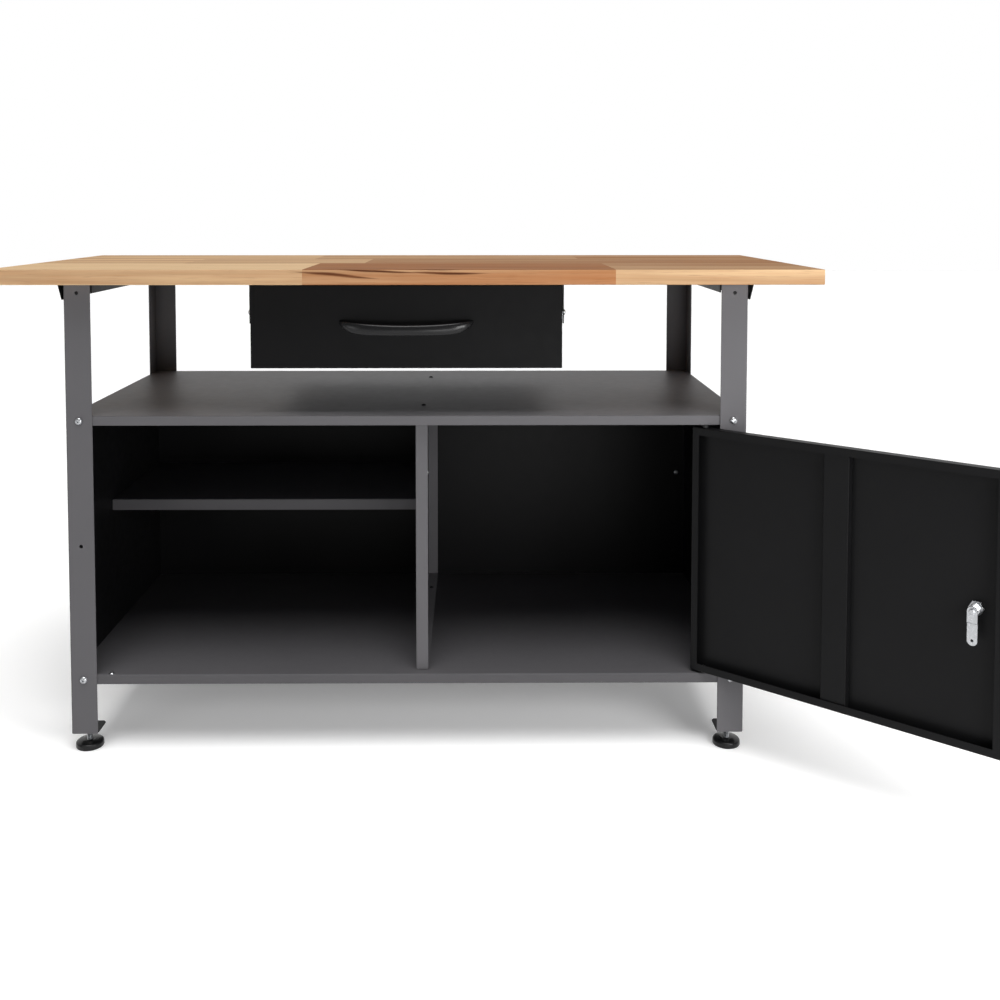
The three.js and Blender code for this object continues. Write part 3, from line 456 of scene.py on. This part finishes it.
shader.inputs["Specular IOR Level"].default_value = 0.02
links.new(spread(nodes, links, fibre, 0.62, 0.76), shader.inputs["Roughness"])
bumped(nodes, links, shader, fibre, 0.12, 0.0006)
piece("worktop", bm, hardwood, "frame", ["worktop"])


# Cabinet roof and floor
# Two grey pans of one-millimetre sheet folded down on all four sides and bolted between the
# legs. The roof's front lip turns in again and holds the door's upper hinge bush.
SHEET = 1.0 * MM
FOLD_RADIUS = 1.2 * MM
LIP_FOLD_RADIUS = 2.4 * MM
ROOF_LIP_RETURN = 16 * MM
UP, DOWN, FORWARD, BACKWARD, RIGHT = (0, 0, 1), (0, 0, -1), (0, -1, 0), (0, 1, 0), (1, 0, 0)


def open_box(low, high, open_sides):
    bm = bmesh.new()
    box(bm, low, high)
    bm.normal_update()
    mouths = [f for f in bm.faces if any(f.normal.dot(Vector(side)) > 0.9 for side in open_sides)]
    bmesh.ops.delete(bm, geom=mouths, context="FACES_ONLY")
    return bm


def fold_sheet(bm, thickness=SHEET, radius=FOLD_RADIUS):
    bm.normal_update()
    inner_edges = [e for e in bm.edges if len(e.link_faces) == 2]
    corners = [e for e in inner_edges if e.calc_face_angle() > math.radians(60)]
    round_edges(bm, corners, radius)
    bmesh.ops.solidify(bm, geom=bm.faces[:], thickness=thickness)
    return bm


def shelf_pan(name, lip_return=0.0):
    low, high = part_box(name)
    bm = open_box(low, high, [DOWN])
    if lip_return:
        lip = [e for e in bm.edges if e.is_boundary and all(v.co.y < low.y + SHEET for v in e.verts)]
        turned_in = bmesh.ops.extrude_edge_only(bm, edges=lip)["geom"]
        rim = [g for g in turned_in if isinstance(g, bmesh.types.BMVert)]
        bmesh.ops.translate(bm, verts=rim, vec=(0, lip_return, 0))
    front_edges = [e for e in bm.edges if all(v.co.y < low.y + SHEET for v in e.verts)]
    lip_fold = [e for e in front_edges if all(v.co.z > high.z - SHEET for v in e.verts)]
    round_edges(bm, lip_fold, LIP_FOLD_RADIUS, 4)
    return piece(name, fold_sheet(bm), grey_paint, "frame", [name])


shelf_pan("mid_shelf", ROOF_LIP_RETURN)
shade(shelf_pan("bottom_panel"))


# Cabinet walls
# Two side panels with folded flanges and a flat back panel, of black painted sheet steel.
# They stand on the floor pan between the legs, and reach down to it without a gap.
WALL_SEAT = 0.4 * MM
for name in ("side_panel_left", "side_panel_right", "back_panel"):
    bm = bmesh.new()
    bm.from_mesh(frame["nodes"][name].data)
    bmesh.ops.remove_doubles(bm, verts=bm.verts[:], dist=1e-6)
    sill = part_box(name)[0].z
    foot = [v for v in bm.verts if v.co.z < sill + 0.1 * MM]
    bmesh.ops.translate(bm, verts=foot, vec=(0, 0, -WALL_SEAT))
    piece(name, bm, black_paint, "frame", [name])


# Divider and inner shelf
# The divider is an upright grey sheet with its four edges folded towards the door's bay.
# The inner shelf is a shallow grey pan bolted between the divider and the left side panel.
divider_bm = open_box(*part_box("divider"), [RIGHT])
piece("divider", fold_sheet(divider_bm), grey_paint, "frame", ["divider"])
shade(shelf_pan("inner_shelf"))


# Frame bolts
# Zinc-plated pan-head bolts with a socket drive hold the pans to both flanges of the legs,
# and others hold the inner shelf. Each has a hexagon nut inside.
def turned(profile, steps=24):
    bm = bmesh.new()
    verts = [bm.verts.new((radius, 0, height)) for radius, height in profile]
    edges = [bm.edges.new(pair) for pair in zip(verts, verts[1:])]
    bmesh.ops.spin(
        bm, geom=verts + edges, cent=(0, 0, 0), axis=UP, angle=math.tau, steps=steps, use_merge=True
    )
    bmesh.ops.remove_doubles(bm, verts=bm.verts[:], dist=1e-7)
    bmesh.ops.recalc_face_normals(bm, faces=bm.faces[:])
    return bm


def towards(direction, place):
    turn = Vector(UP).rotation_difference(Vector(direction))
    return Matrix.Translation(place) @ turn.to_matrix().to_4x4()


def add_copy(bm, part, matrix):
    copy = bpy.data.meshes.new("copy")
    part.to_mesh(copy)
    copy.transform(matrix)
    bm.from_mesh(copy)
    bpy.data.meshes.remove(copy)


def pan_head_bolt(shank, head, height, length):
    tip = 0.15 * shank
    return turned([
        (0, 0.35 * height), (0.36 * head, 0.35 * height), (0.40 * head, 0.97 * height),
        (0.48 * head, height), (0.78 * head, 0.80 * height), (0.95 * head, 0.45 * height),
        (head, 0.12 * height), (0.97 * head, 0), (shank, 0), (shank, tip - length),
        (shank - tip, -length), (0, -length),
    ])


def hexagon_nut(bore, corner, height):
    edge = 0.12 * height
    return turned([
        (bore, 0), (corner - edge, 0), (corner, edge), (corner, height - edge),
        (corner - edge, height), (bore, height), (bore, 0),
    ], 6)


ZINC_BRIGHT = (0.50, 0.51, 0.53)
ZINC_DULL = (0.38, 0.39, 0.40)
zinc, nodes, links = start_material("zinc_plate")
shader = nodes["Principled BSDF"]
shader.inputs["Metallic"].default_value = 1.0
place = nodes.new("ShaderNodeTexCoord").outputs["Object"]
spangle = noise(nodes, links, place, 260.0, 2.0)
tone = blend_colours(nodes, links, spangle, ZINC_BRIGHT, ZINC_DULL)
links.new(tone, shader.inputs["Base Color"])
links.new(spread(nodes, links, spangle, 0.24, 0.38), shader.inputs["Roughness"])
bumped(nodes, links, shader, noise(nodes, links, place, 900.0, 1.0), 0.05, 0.0002)

BOLT_HEAD = 6.5 * MM
BOLT_HEIGHT = 4.0 * MM
BOLT_SHANK = 3.0 * MM
BOLT_LENGTH = 14.0 * MM
NUT_CORNER = 5.8 * MM
NUT_HEIGHT = 5.0 * MM
LEG_STACK = 3.6 * MM
LEG_BOLT_LINE = 23 * MM
frame_bolt = pan_head_bolt(BOLT_SHANK, BOLT_HEAD, BOLT_HEIGHT, BOLT_LENGTH)
frame_nut = hexagon_nut(BOLT_SHANK, NUT_CORNER, NUT_HEIGHT)


def add_bolt(bm, bolt, nut, outward, place, stack):
    inward = -Vector(outward)
    add_copy(bm, bolt, towards(outward, place))
    add_copy(bm, nut, towards(inward, Vector(place) + inward * stack))


for end, side in CORNERS:
    leg_low, leg_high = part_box(f"leg_{end}_{side}")
    outward_y = -1 if end == "front" else 1
    outward_x = -1 if side == "left" else 1
    face_y = leg_low.y if end == "front" else leg_high.y
    face_x = leg_low.x if side == "left" else leg_high.x
    flange_y = face_y - outward_y * LEG_BOLT_LINE
    for height in ("upper", "lower"):
        node = f"frame_bolt_{end}_{side}_{height}"
        low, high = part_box(node)
        middle = (low + high) / 2
        front_place = (middle.x, face_y, middle.z)
        side_place = (face_x, flange_y, middle.z)
        bm = bmesh.new()
        add_bolt(bm, frame_bolt, frame_nut, (0, outward_y, 0), front_place, LEG_STACK)
        add_bolt(bm, frame_bolt, frame_nut, (outward_x, 0, 0), side_place, LEG_STACK)
        piece(node, bm, zinc, "frame", [node])

SHELF_BOLT_SHANK = 2.5 * MM
SHELF_BOLT_HEAD = 5.0 * MM
SHELF_BOLT_HEIGHT = 3.0 * MM
SHELF_BOLT_LENGTH = 12.0 * MM
SHELF_NUT_CORNER = 4.6 * MM
SHELF_NUT_HEIGHT = 4.0 * MM
SHELF_STACK = 3.0 * MM
shelf_bolt = pan_head_bolt(SHELF_BOLT_SHANK, SHELF_BOLT_HEAD, SHELF_BOLT_HEIGHT, SHELF_BOLT_LENGTH)
shelf_nut = hexagon_nut(SHELF_BOLT_SHANK, SHELF_NUT_CORNER, SHELF_NUT_HEIGHT)
for side, outward in (("left", -1), ("right", 1)):
    for end in ("front", "rear"):
        node = f"inner_shelf_bolt_{side}_{end}"
        low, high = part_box(node)
        middle = (low + high) / 2
        head_side = low.x if outward < 0 else high.x
        seat = (head_side - outward * SHELF_BOLT_HEIGHT, middle.y, middle.z)
        bm = bmesh.new()
        add_bolt(bm, shelf_bolt, shelf_nut, (outward, 0, 0), seat, SHELF_STACK)
        piece(node, bm, zinc, "frame", [node])


# Small screws
# Black screws join the divider to the roof and floor, bolts hold the back panel to the rear
# legs at half height, and a plug closes the spare hinge seat in the floor's left corner.
SCREW_SHANK = 2.0 * MM
SCREW_HEAD = 4.2 * MM
SCREW_HEIGHT = 2.2 * MM
SCREW_LENGTH = 6.0 * MM
small_screw = pan_head_bolt(SCREW_SHANK, SCREW_HEAD, SCREW_HEIGHT, SCREW_LENGTH)
shelf_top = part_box("mid_shelf")[1].z
floor_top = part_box("bottom_panel")[1].z
divider_low, divider_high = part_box("divider")
divider_middle = (divider_low.x + divider_high.x) / 2
DIVIDER_SCREW_PLACES = (-166 * MM, 172 * MM)
bm = bmesh.new()
for y in DIVIDER_SCREW_PLACES:
    add_copy(bm, small_screw, towards(UP, (divider_middle, y, shelf_top)))
    add_copy(bm, small_screw, towards(UP, (divider_middle, y, floor_top + SHEET)))
piece("divider_screws", bm, black_paint, "frame")

BACK_BOLT_X = 567 * MM
BACK_BOLT_Z = 365.5 * MM
back_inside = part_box("back_panel")[0].y
bm = bmesh.new()
for x in (-BACK_BOLT_X, BACK_BOLT_X):
    add_copy(bm, shelf_bolt, towards(FORWARD, (x, back_inside, BACK_BOLT_Z)))
    add_copy(bm, shelf_nut, towards(BACKWARD, (x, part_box("leg_rear_left")[1].y, BACK_BOLT_Z)))
piece("back_panel_bolts", bm, zinc, "frame")

pin_low, pin_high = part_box("hinge_bush_lower")
pin_x = (pin_low.x + pin_high.x) / 2
pin_y = (pin_low.y + pin_high.y) / 2
bm = turned([
    (0, 2.6 * MM), (2.4 * MM, 2.4 * MM), (4.2 * MM, 1.4 * MM), (4.8 * MM, 0), (3.4 * MM, 0),
    (3.2 * MM, -4 * MM), (0, -4 * MM),
])
bm.transform(Matrix.Translation((-pin_x, pin_y, floor_top)))
piece("spare_hinge_plug", bm, zinc, "frame")


# Rail screws
# Zinc-plated wood screws with pan heads, four in each top rail between the legs. They go up
# through the rail's web into the worktop.
RAIL_STEEL = 2.0 * MM
RAIL_SCREW_X = 567 * MM
RAIL_SCREW_PLACES = (-150 * MM, -50 * MM, 50 * MM, 150 * MM)
WOOD_SCREW_SHANK = 2.2 * MM
WOOD_SCREW_HEAD = 4.6 * MM
WOOD_SCREW_HEIGHT = 2.4 * MM
WOOD_SCREW_LENGTH = 14.0 * MM
wood_screw = pan_head_bolt(WOOD_SCREW_SHANK, WOOD_SCREW_HEAD, WOOD_SCREW_HEIGHT, WOOD_SCREW_LENGTH)
web_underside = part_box("top_rail_left")[1].z - RAIL_STEEL
bm = bmesh.new()
for x in (-RAIL_SCREW_X, RAIL_SCREW_X):
    for y in RAIL_SCREW_PLACES:
        add_copy(bm, wood_screw, towards(DOWN, (x, y, web_underside)))
piece("rail_screws", bm, zinc, "frame")


# Hinge
# Zinc-plated pins fixed in the door's upper and lower lips turn in black moulded bushes,
# which are pressed into the cabinet's roof and floor.
PIN_EDGE = 0.3 * MM
PLASTIC_DARK = (0.0065, 0.0065, 0.0070)
PLASTIC_LIGHT = (0.0095, 0.0095, 0.0100)
black_plastic, nodes, links = start_material("black_plastic")
shader = nodes["Principled BSDF"]
place = nodes.new("ShaderNodeTexCoord").outputs["Object"]
mould = noise(nodes, links, place, 900.0, 2.0)
tone = blend_colours(nodes, links, mould, PLASTIC_DARK, PLASTIC_LIGHT)
links.new(tone, shader.inputs["Base Color"])
shader.inputs["Specular IOR Level"].default_value = 0.24
links.new(spread(nodes, links, mould, 0.20, 0.28), shader.inputs["Roughness"])
bumped(nodes, links, shader, mould, 0.12, 0.0003)
for height in ("upper", "lower"):
    dress(f"hinge_bush_{height}", black_plastic, PIN_EDGE)
    dress(f"hinge_pin_{height}", zinc, PIN_EDGE)


# Door
# A black pan of one-millimetre sheet with four folded lips and narrow returns, stiffened by a
# welded upright channel. It is drawn shut, against the pin line, and then turned open.
DOOR_FREE_EDGE = -495.5 * MM
DOOR_HINGE_EDGE = 20 * MM
DOOR_FRONT = -7.5 * MM
DOOR_REAR = 10.5 * MM
DOOR_RETURN = 13 * MM
STIFFENER_HALF = 21 * MM
STIFFENER_DEPTH = 14 * MM
joints = {joint["name"]: joint for joint in frame["record"]["behaviour"]["joints"]}
door_joint = joints["door_hinge"]
door_turn = Matrix.Rotation(math.radians(-door_joint["range_deg"][0]), 4, "Z")
door_place = Matrix.Translation((door_joint["pos_m"][0], door_joint["pos_m"][1], 0)) @ door_turn
door_low, door_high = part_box("door_panel")

bm = bmesh.new()
box(bm, (DOOR_FREE_EDGE, DOOR_FRONT, door_low.z), (DOOR_HINGE_EDGE, DOOR_REAR, door_high.z))
bm.normal_update()
rear_face = [f for f in bm.faces if f.normal.y > 0.9]
bmesh.ops.inset_region(bm, faces=rear_face, thickness=DOOR_RETURN, use_even_offset=True)
bmesh.ops.delete(bm, geom=rear_face, context="FACES_ONLY")
rear_edges = [e for e in bm.edges if all(v.co.y > DOOR_REAR - SHEET for v in e.verts)]
mitres = [e for e in rear_edges if e.calc_length() < 1.5 * DOOR_RETURN]
folds = [e for e in bm.edges if not e.is_boundary and e not in mitres]
round_edges(bm, folds, FOLD_RADIUS)
bmesh.ops.solidify(bm, geom=bm.faces[:], thickness=SHEET)
bm.transform(door_place)
piece("door_panel", bm, black_paint, "door", ["door_panel"])

stiffener_middle = (DOOR_FREE_EDGE + DOOR_HINGE_EDGE) / 2
stiffener_low, stiffener_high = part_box("door_stiffener")
bm = open_box(
    (stiffener_middle - STIFFENER_HALF, DOOR_FRONT + SHEET, stiffener_low.z),
    (stiffener_middle + STIFFENER_HALF, DOOR_FRONT + SHEET + STIFFENER_DEPTH, stiffener_high.z),
    [FORWARD, UP, DOWN],
)
fold_sheet(bm).transform(door_place)
piece("door_stiffener", bm, black_paint, "door", ["door_stiffener"])


# Cam lock
# A zinc die-cast barrel with a round collar outside and a flat nut inside the door, a plug
# with a key slot, and a cranked steel cam held on the plug's square by a screw.
LOCK_X = -451.5 * MM
COLLAR = 11 * MM
BARREL = 8 * MM
PLUG = 5.5 * MM
PLUG_BORE = PLUG + 0.2 * MM
BARREL_FACE = -2.6 * MM
BARREL_END = 21.7 * MM
LOCK_THREAD_START = 8.2 * MM
LOCK_THREAD_PITCH = 1.4 * MM
LOCK_THREAD_DEPTH = 0.6 * MM
LOCK_THREAD_TURNS = 9
CAM_SEAT = 22.0 * MM
CAM_STEEL = 2.5 * MM
lock_place = door_place @ Matrix.Translation((LOCK_X, DOOR_FRONT, joints["lock_turn"]["pos_m"][2]))
along_lock = lock_place @ Matrix.Rotation(math.radians(-90), 4, "X")
thread = []
for turn in range(LOCK_THREAD_TURNS):
    crest = LOCK_THREAD_START + turn * LOCK_THREAD_PITCH
    thread += [(BARREL, crest), (BARREL - LOCK_THREAD_DEPTH, crest + LOCK_THREAD_PITCH / 2)]
bm = turned([
    (PLUG_BORE, BARREL_FACE), (COLLAR - 1.6 * MM, -2.8 * MM), (COLLAR - 0.4 * MM, -2.0 * MM),
    (COLLAR, -0.9 * MM), (COLLAR, -0.1 * MM), (BARREL, -0.1 * MM), *thread, (BARREL, 20.8 * MM),
    (BARREL - 0.8 * MM, BARREL_END), (PLUG_BORE, BARREL_END), (PLUG_BORE, BARREL_FACE),
], 32)
bm.transform(along_lock)
piece("lock_barrel", bm, zinc, "door", ["lock_barrel"])

LOCK_NUT_CORNER = 11.5 * MM
LOCK_NUT_HEIGHT = 5.0 * MM
LOCK_SEAT_GAP = 0.3 * MM
bm = hexagon_nut(BARREL - LOCK_SEAT_GAP, LOCK_NUT_CORNER, LOCK_NUT_HEIGHT)
bm.transform(along_lock @ Matrix.Translation((0, 0, SHEET + LOCK_SEAT_GAP)))
piece("lock_nut", bm, zinc, "door", ["lock_nut"])

SLOT_HALF_LENGTH = 3.6 * MM
SLOT_HALF_WIDTH = 0.8 * MM
SLOT_DEPTH = 6 * MM
PLUG_FACE = 2.4 * MM
SQUARE_HALF_DIAGONAL = 5.2 * MM
bm = bmesh.new()
bmesh.ops.create_cone(
    bm, cap_ends=True, segments=32, radius1=PLUG, radius2=PLUG, depth=BARREL_END + PLUG_FACE,
    matrix=Matrix.Translation((0, 0, (BARREL_END - PLUG_FACE) / 2)),
)
front = [f for f in bm.faces if f.normal.z < -0.9]
bmesh.ops.inset_region(bm, faces=front, thickness=PLUG - SLOT_HALF_LENGTH, use_even_offset=True)
for vert in front[0].verts:
    vert.co.x *= SLOT_HALF_WIDTH / SLOT_HALF_LENGTH
sunk = bmesh.ops.extrude_discrete_faces(bm, faces=front)["faces"]
bmesh.ops.translate(bm, verts=sunk[0].verts[:], vec=(0, 0, SLOT_DEPTH))
bmesh.ops.create_cone(
    bm, cap_ends=True, segments=4, radius1=SQUARE_HALF_DIAGONAL, radius2=SQUARE_HALF_DIAGONAL,
    depth=CAM_STEEL + 1.0 * MM, matrix=Matrix.Translation((0, 0, BARREL_END + CAM_STEEL / 2)),
)
bm.transform(along_lock)
piece("lock_plug", bm, zinc, "lock_cam", ["lock_plug"])

CAM_HALF = 7.5 * MM
CAM_REACH = 52 * MM
CRANK_FROM = 16 * MM
CRANK_STEP = 2.0 * MM
TIP_HOLE = 2.2 * MM
bm = bmesh.new()
outline = bmesh.ops.create_circle(bm, segments=32, radius=CAM_HALF)["verts"]
bmesh.ops.translate(bm, verts=[v for v in outline if v.co.y < -1e-6], vec=(0, CAM_HALF - CAM_REACH, 0))
bmesh.ops.create_circle(
    bm, segments=20, radius=TIP_HOLE, matrix=Matrix.Translation((0, CAM_HALF - CAM_REACH, 0))
)
bmesh.ops.triangle_fill(bm, use_beauty=True, edges=bm.edges[:])
for level in (CRANK_FROM, CRANK_FROM + CRANK_STEP):
    saw(bm, bm.verts[:] + bm.edges[:] + bm.faces[:], (0, -level, 0), (0, 1, 0))
beyond_crank = [v for v in bm.verts if v.co.y < -CRANK_FROM - 0.5 * CRANK_STEP]
bmesh.ops.translate(bm, verts=beyond_crank, vec=(0, 0, CRANK_STEP))
bmesh.ops.recalc_face_normals(bm, faces=bm.faces[:])
bmesh.ops.solidify(bm, geom=bm.faces[:], thickness=CAM_STEEL)
flat_to_lock = Matrix.Rotation(math.radians(90), 4, "X")
bm.transform(lock_place @ Matrix.Translation((0, CAM_SEAT, 0)) @ flat_to_lock)
piece("lock_cam", bm, zinc, "lock_cam", ["lock_cam"])

bm = turned([
    (0, 3.0 * MM), (3.6 * MM, 3.0 * MM), (4.6 * MM, 2.2 * MM), (4.8 * MM, 0.8 * MM),
    (5.8 * MM, 0.6 * MM), (5.8 * MM, 0), (2.0 * MM, 0), (2.0 * MM, -9 * MM), (0, -9 * MM),
], 6)
bm.transform(along_lock @ Matrix.Translation((0, 0, CAM_SEAT + CAM_STEEL + LOCK_SEAT_GAP)))
piece("cam_screw", bm, zinc, "lock_cam", ["cam_screw"])


# Drawer hangers and runners
# Black folded angles screwed up under the worktop carry zinc channels in which the drawer's
# slides run. Each hanger's bolts stand out on its outer side.
HANGER_EDGE = 0.3 * MM
RUNNER_EDGE = 0.2 * MM
HANGER_FLANGE = 22.5 * MM
HANGER_STEEL = 1.5 * MM
HANGER_BOLT_LIFT = 19 * MM
HANGER_BOLT_FRONT = 8 * MM
HANGER_BOLT_REAR = 30 * MM
HANGER_SCREW_OUT = 13 * MM
HANGER_SCREW_BACK = 20 * MM
for side, outward in (("left", -1), ("right", 1)):
    dress(f"drawer_hanger_{side}", black_paint, HANGER_EDGE)
    dress(f"drawer_runner_{side}", zinc, RUNNER_EDGE)
    dress(f"drawer_slide_{side}", zinc, RUNNER_EDGE)
    low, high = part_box(f"drawer_hanger_{side}")
    web = high.x - HANGER_FLANGE if outward > 0 else low.x + HANGER_FLANGE
    screw_x = web + outward * HANGER_SCREW_OUT
    bm = bmesh.new()
    for y in (low.y + HANGER_BOLT_FRONT, (low.y + high.y) / 2, high.y - HANGER_BOLT_REAR):
        bolt_place = (web, y, low.z + HANGER_BOLT_LIFT)
        add_copy(bm, shelf_bolt, towards((outward, 0, 0), bolt_place))
        screw_place = (screw_x, y + HANGER_SCREW_BACK, high.z - HANGER_STEEL)
        add_copy(bm, wood_screw, towards(DOWN, screw_place))
    piece(f"hanger_bolts_{side}", bm, zinc, "frame")


# Drawer
# A folded black front with returns on all sides, screwed to a folded black tray that is open
# at the top, with a flat back plate.
bm = open_box(*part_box("drawer_front"), [BACKWARD])
shade(piece("drawer_front", fold_sheet(bm), black_paint, "drawer", ["drawer_front"]))
bm = open_box(*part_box("drawer_tray"), [UP, FORWARD, BACKWARD])
piece("drawer_tray", fold_sheet(bm), black_paint, "drawer", ["drawer_tray"])
dress("drawer_back", black_paint)


# Drawer handle
# A black moulded bow whose upper edge droops while its lower edge runs nearly level, drawn
# in to feet at both ends and held by two screws from inside the drawer's front.
handle_low, handle_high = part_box("drawer_handle")
HANDLE_STEPS = 48
HANDLE_SIDES = 24
HANDLE_END = 3 * MM
HANDLE_SEAT = 0.3 * MM
HANDLE_SAG = 6 * MM
GRIP_HEIGHT = 18 * MM
GRIP_THICKNESS = 9 * MM
FOOT_HEIGHT = 7 * MM
HANDLE_SCREW_LENGTH = 2.0 * MM
handle_half = (handle_high.x - handle_low.x) / 2 - HANDLE_END
drawer_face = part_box("drawer_front")[0].y
handle_reach = drawer_face - handle_low.y - GRIP_THICKNESS / 2
handle_root = handle_low.z + GRIP_HEIGHT + HANDLE_SAG - FOOT_HEIGHT / 2


def handle_station(step):
    share = -1 + 2 * step / HANDLE_STEPS
    bow = math.sqrt(max(0.0, 1 - abs(share) ** 3))
    upper = handle_root + FOOT_HEIGHT / 2 - HANDLE_SAG * (1 - share * share)
    fullness = max(0.0, 1 - share ** 6)
    drop = (HANDLE_SAG + GRIP_HEIGHT - FOOT_HEIGHT) * fullness ** 0.8
    lower = handle_root - FOOT_HEIGHT / 2 - drop
    outward = drawer_face - HANDLE_SEAT - handle_reach * bow
    middle = Vector((handle_half * share, outward, (upper + lower) / 2))
    return middle, (upper - lower) / 2, (0.55 + 0.45 * bow) * GRIP_THICKNESS / 2


bm = bmesh.new()
ring = bmesh.ops.create_circle(bm, segments=HANDLE_SIDES, radius=1.0)["verts"]
ring_edges = list({e for v in ring for e in v.link_edges})
stations = [handle_station(step) for step in range(HANDLE_STEPS + 1)]
former = Matrix.Identity(4)
for step, (middle, half_height, half_thickness) in enumerate(stations):
    ahead = stations[min(step + 1, HANDLE_STEPS)][0] - stations[max(step - 1, 0)][0]
    ahead.z = 0
    sideways = ahead.normalized().cross(Vector(UP))
    axes = (sideways * half_thickness, Vector(UP) * half_height, ahead.normalized())
    station = Matrix(axes).transposed().to_4x4()
    station.translation = middle
    if step:
        grown = bmesh.ops.extrude_edge_only(bm, edges=ring_edges)["geom"]
        ring = [g for g in grown if isinstance(g, bmesh.types.BMVert)]
        ring_edges = [g for g in grown if isinstance(g, bmesh.types.BMEdge)]
    bmesh.ops.transform(bm, matrix=station @ former.inverted(), verts=ring)
    former = station
bmesh.ops.holes_fill(bm, edges=[e for e in bm.edges if e.is_boundary])
bmesh.ops.recalc_face_normals(bm, faces=bm.faces[:])
piece("drawer_handle", bm, black_plastic, "drawer", ["drawer_handle"])

bm = bmesh.new()
handle_screw = pan_head_bolt(SCREW_SHANK, SCREW_HEAD, SCREW_HEIGHT, HANDLE_SCREW_LENGTH)
for x in (-handle_half, handle_half):
    add_copy(bm, handle_screw, towards(BACKWARD, (x, drawer_face + SHEET, handle_root)))
piece("handle_screws", bm, zinc, "drawer")


# Feet
# A plate with a welded nut closes each leg's foot. A zinc stud with a rolled thread turns in
# it and stands in a black moulded pad with a flat tread and a rounded crown.
PAD_RADIUS = 24 * MM
PAD_HEIGHT = 13 * MM
STUD_SEAT = 7 * MM
STUD_RADIUS = 5 * MM
STUD_ROOT = 4.3 * MM
THREAD_PITCH = 1.5 * MM
for end, side in CORNERS:
    body = f"foot_{end}_{side}"
    low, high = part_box(f"foot_pad_{end}_{side}")
    centre = Matrix.Translation(((low.x + high.x) / 2, (low.y + high.y) / 2, 0))
    bm = turned([
        (0, 0), (0.90 * PAD_RADIUS, 0), (0.97 * PAD_RADIUS, 0.5 * MM), (PAD_RADIUS, 1.6 * MM),
        (PAD_RADIUS, 7.0 * MM), (0.985 * PAD_RADIUS, 8.6 * MM), (0.93 * PAD_RADIUS, 10.2 * MM),
        (0.80 * PAD_RADIUS, 11.6 * MM), (0.56 * PAD_RADIUS, 12.4 * MM), (0.50 * PAD_RADIUS, 12.6 * MM),
        (0.44 * PAD_RADIUS, PAD_HEIGHT), (0.26 * PAD_RADIUS, PAD_HEIGHT),
        (0.24 * PAD_RADIUS, STUD_SEAT), (0, STUD_SEAT),
    ], 48)
    bm.transform(centre)
    piece(f"foot_pad_{end}_{side}", bm, black_plastic, body, [f"foot_pad_{end}_{side}"])
    low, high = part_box(f"foot_stud_{end}_{side}")
    profile = [(0, low.z), (STUD_ROOT, low.z)]
    level = low.z + 0.8 * MM
    while level < high.z - 2 * THREAD_PITCH:
        profile += [(STUD_ROOT, level), (STUD_RADIUS, level + 0.5 * THREAD_PITCH)]
        level += THREAD_PITCH
    profile += [(STUD_ROOT, level), (STUD_ROOT - 0.8 * MM, high.z), (0, high.z)]
    bm = turned(profile, 24)
    bm.transform(centre)
    piece(f"foot_stud_{end}_{side}", bm, zinc, body, [f"foot_stud_{end}_{side}"])
    dress(f"foot_plate_{end}_{side}", black_paint, CUT_EDGE)
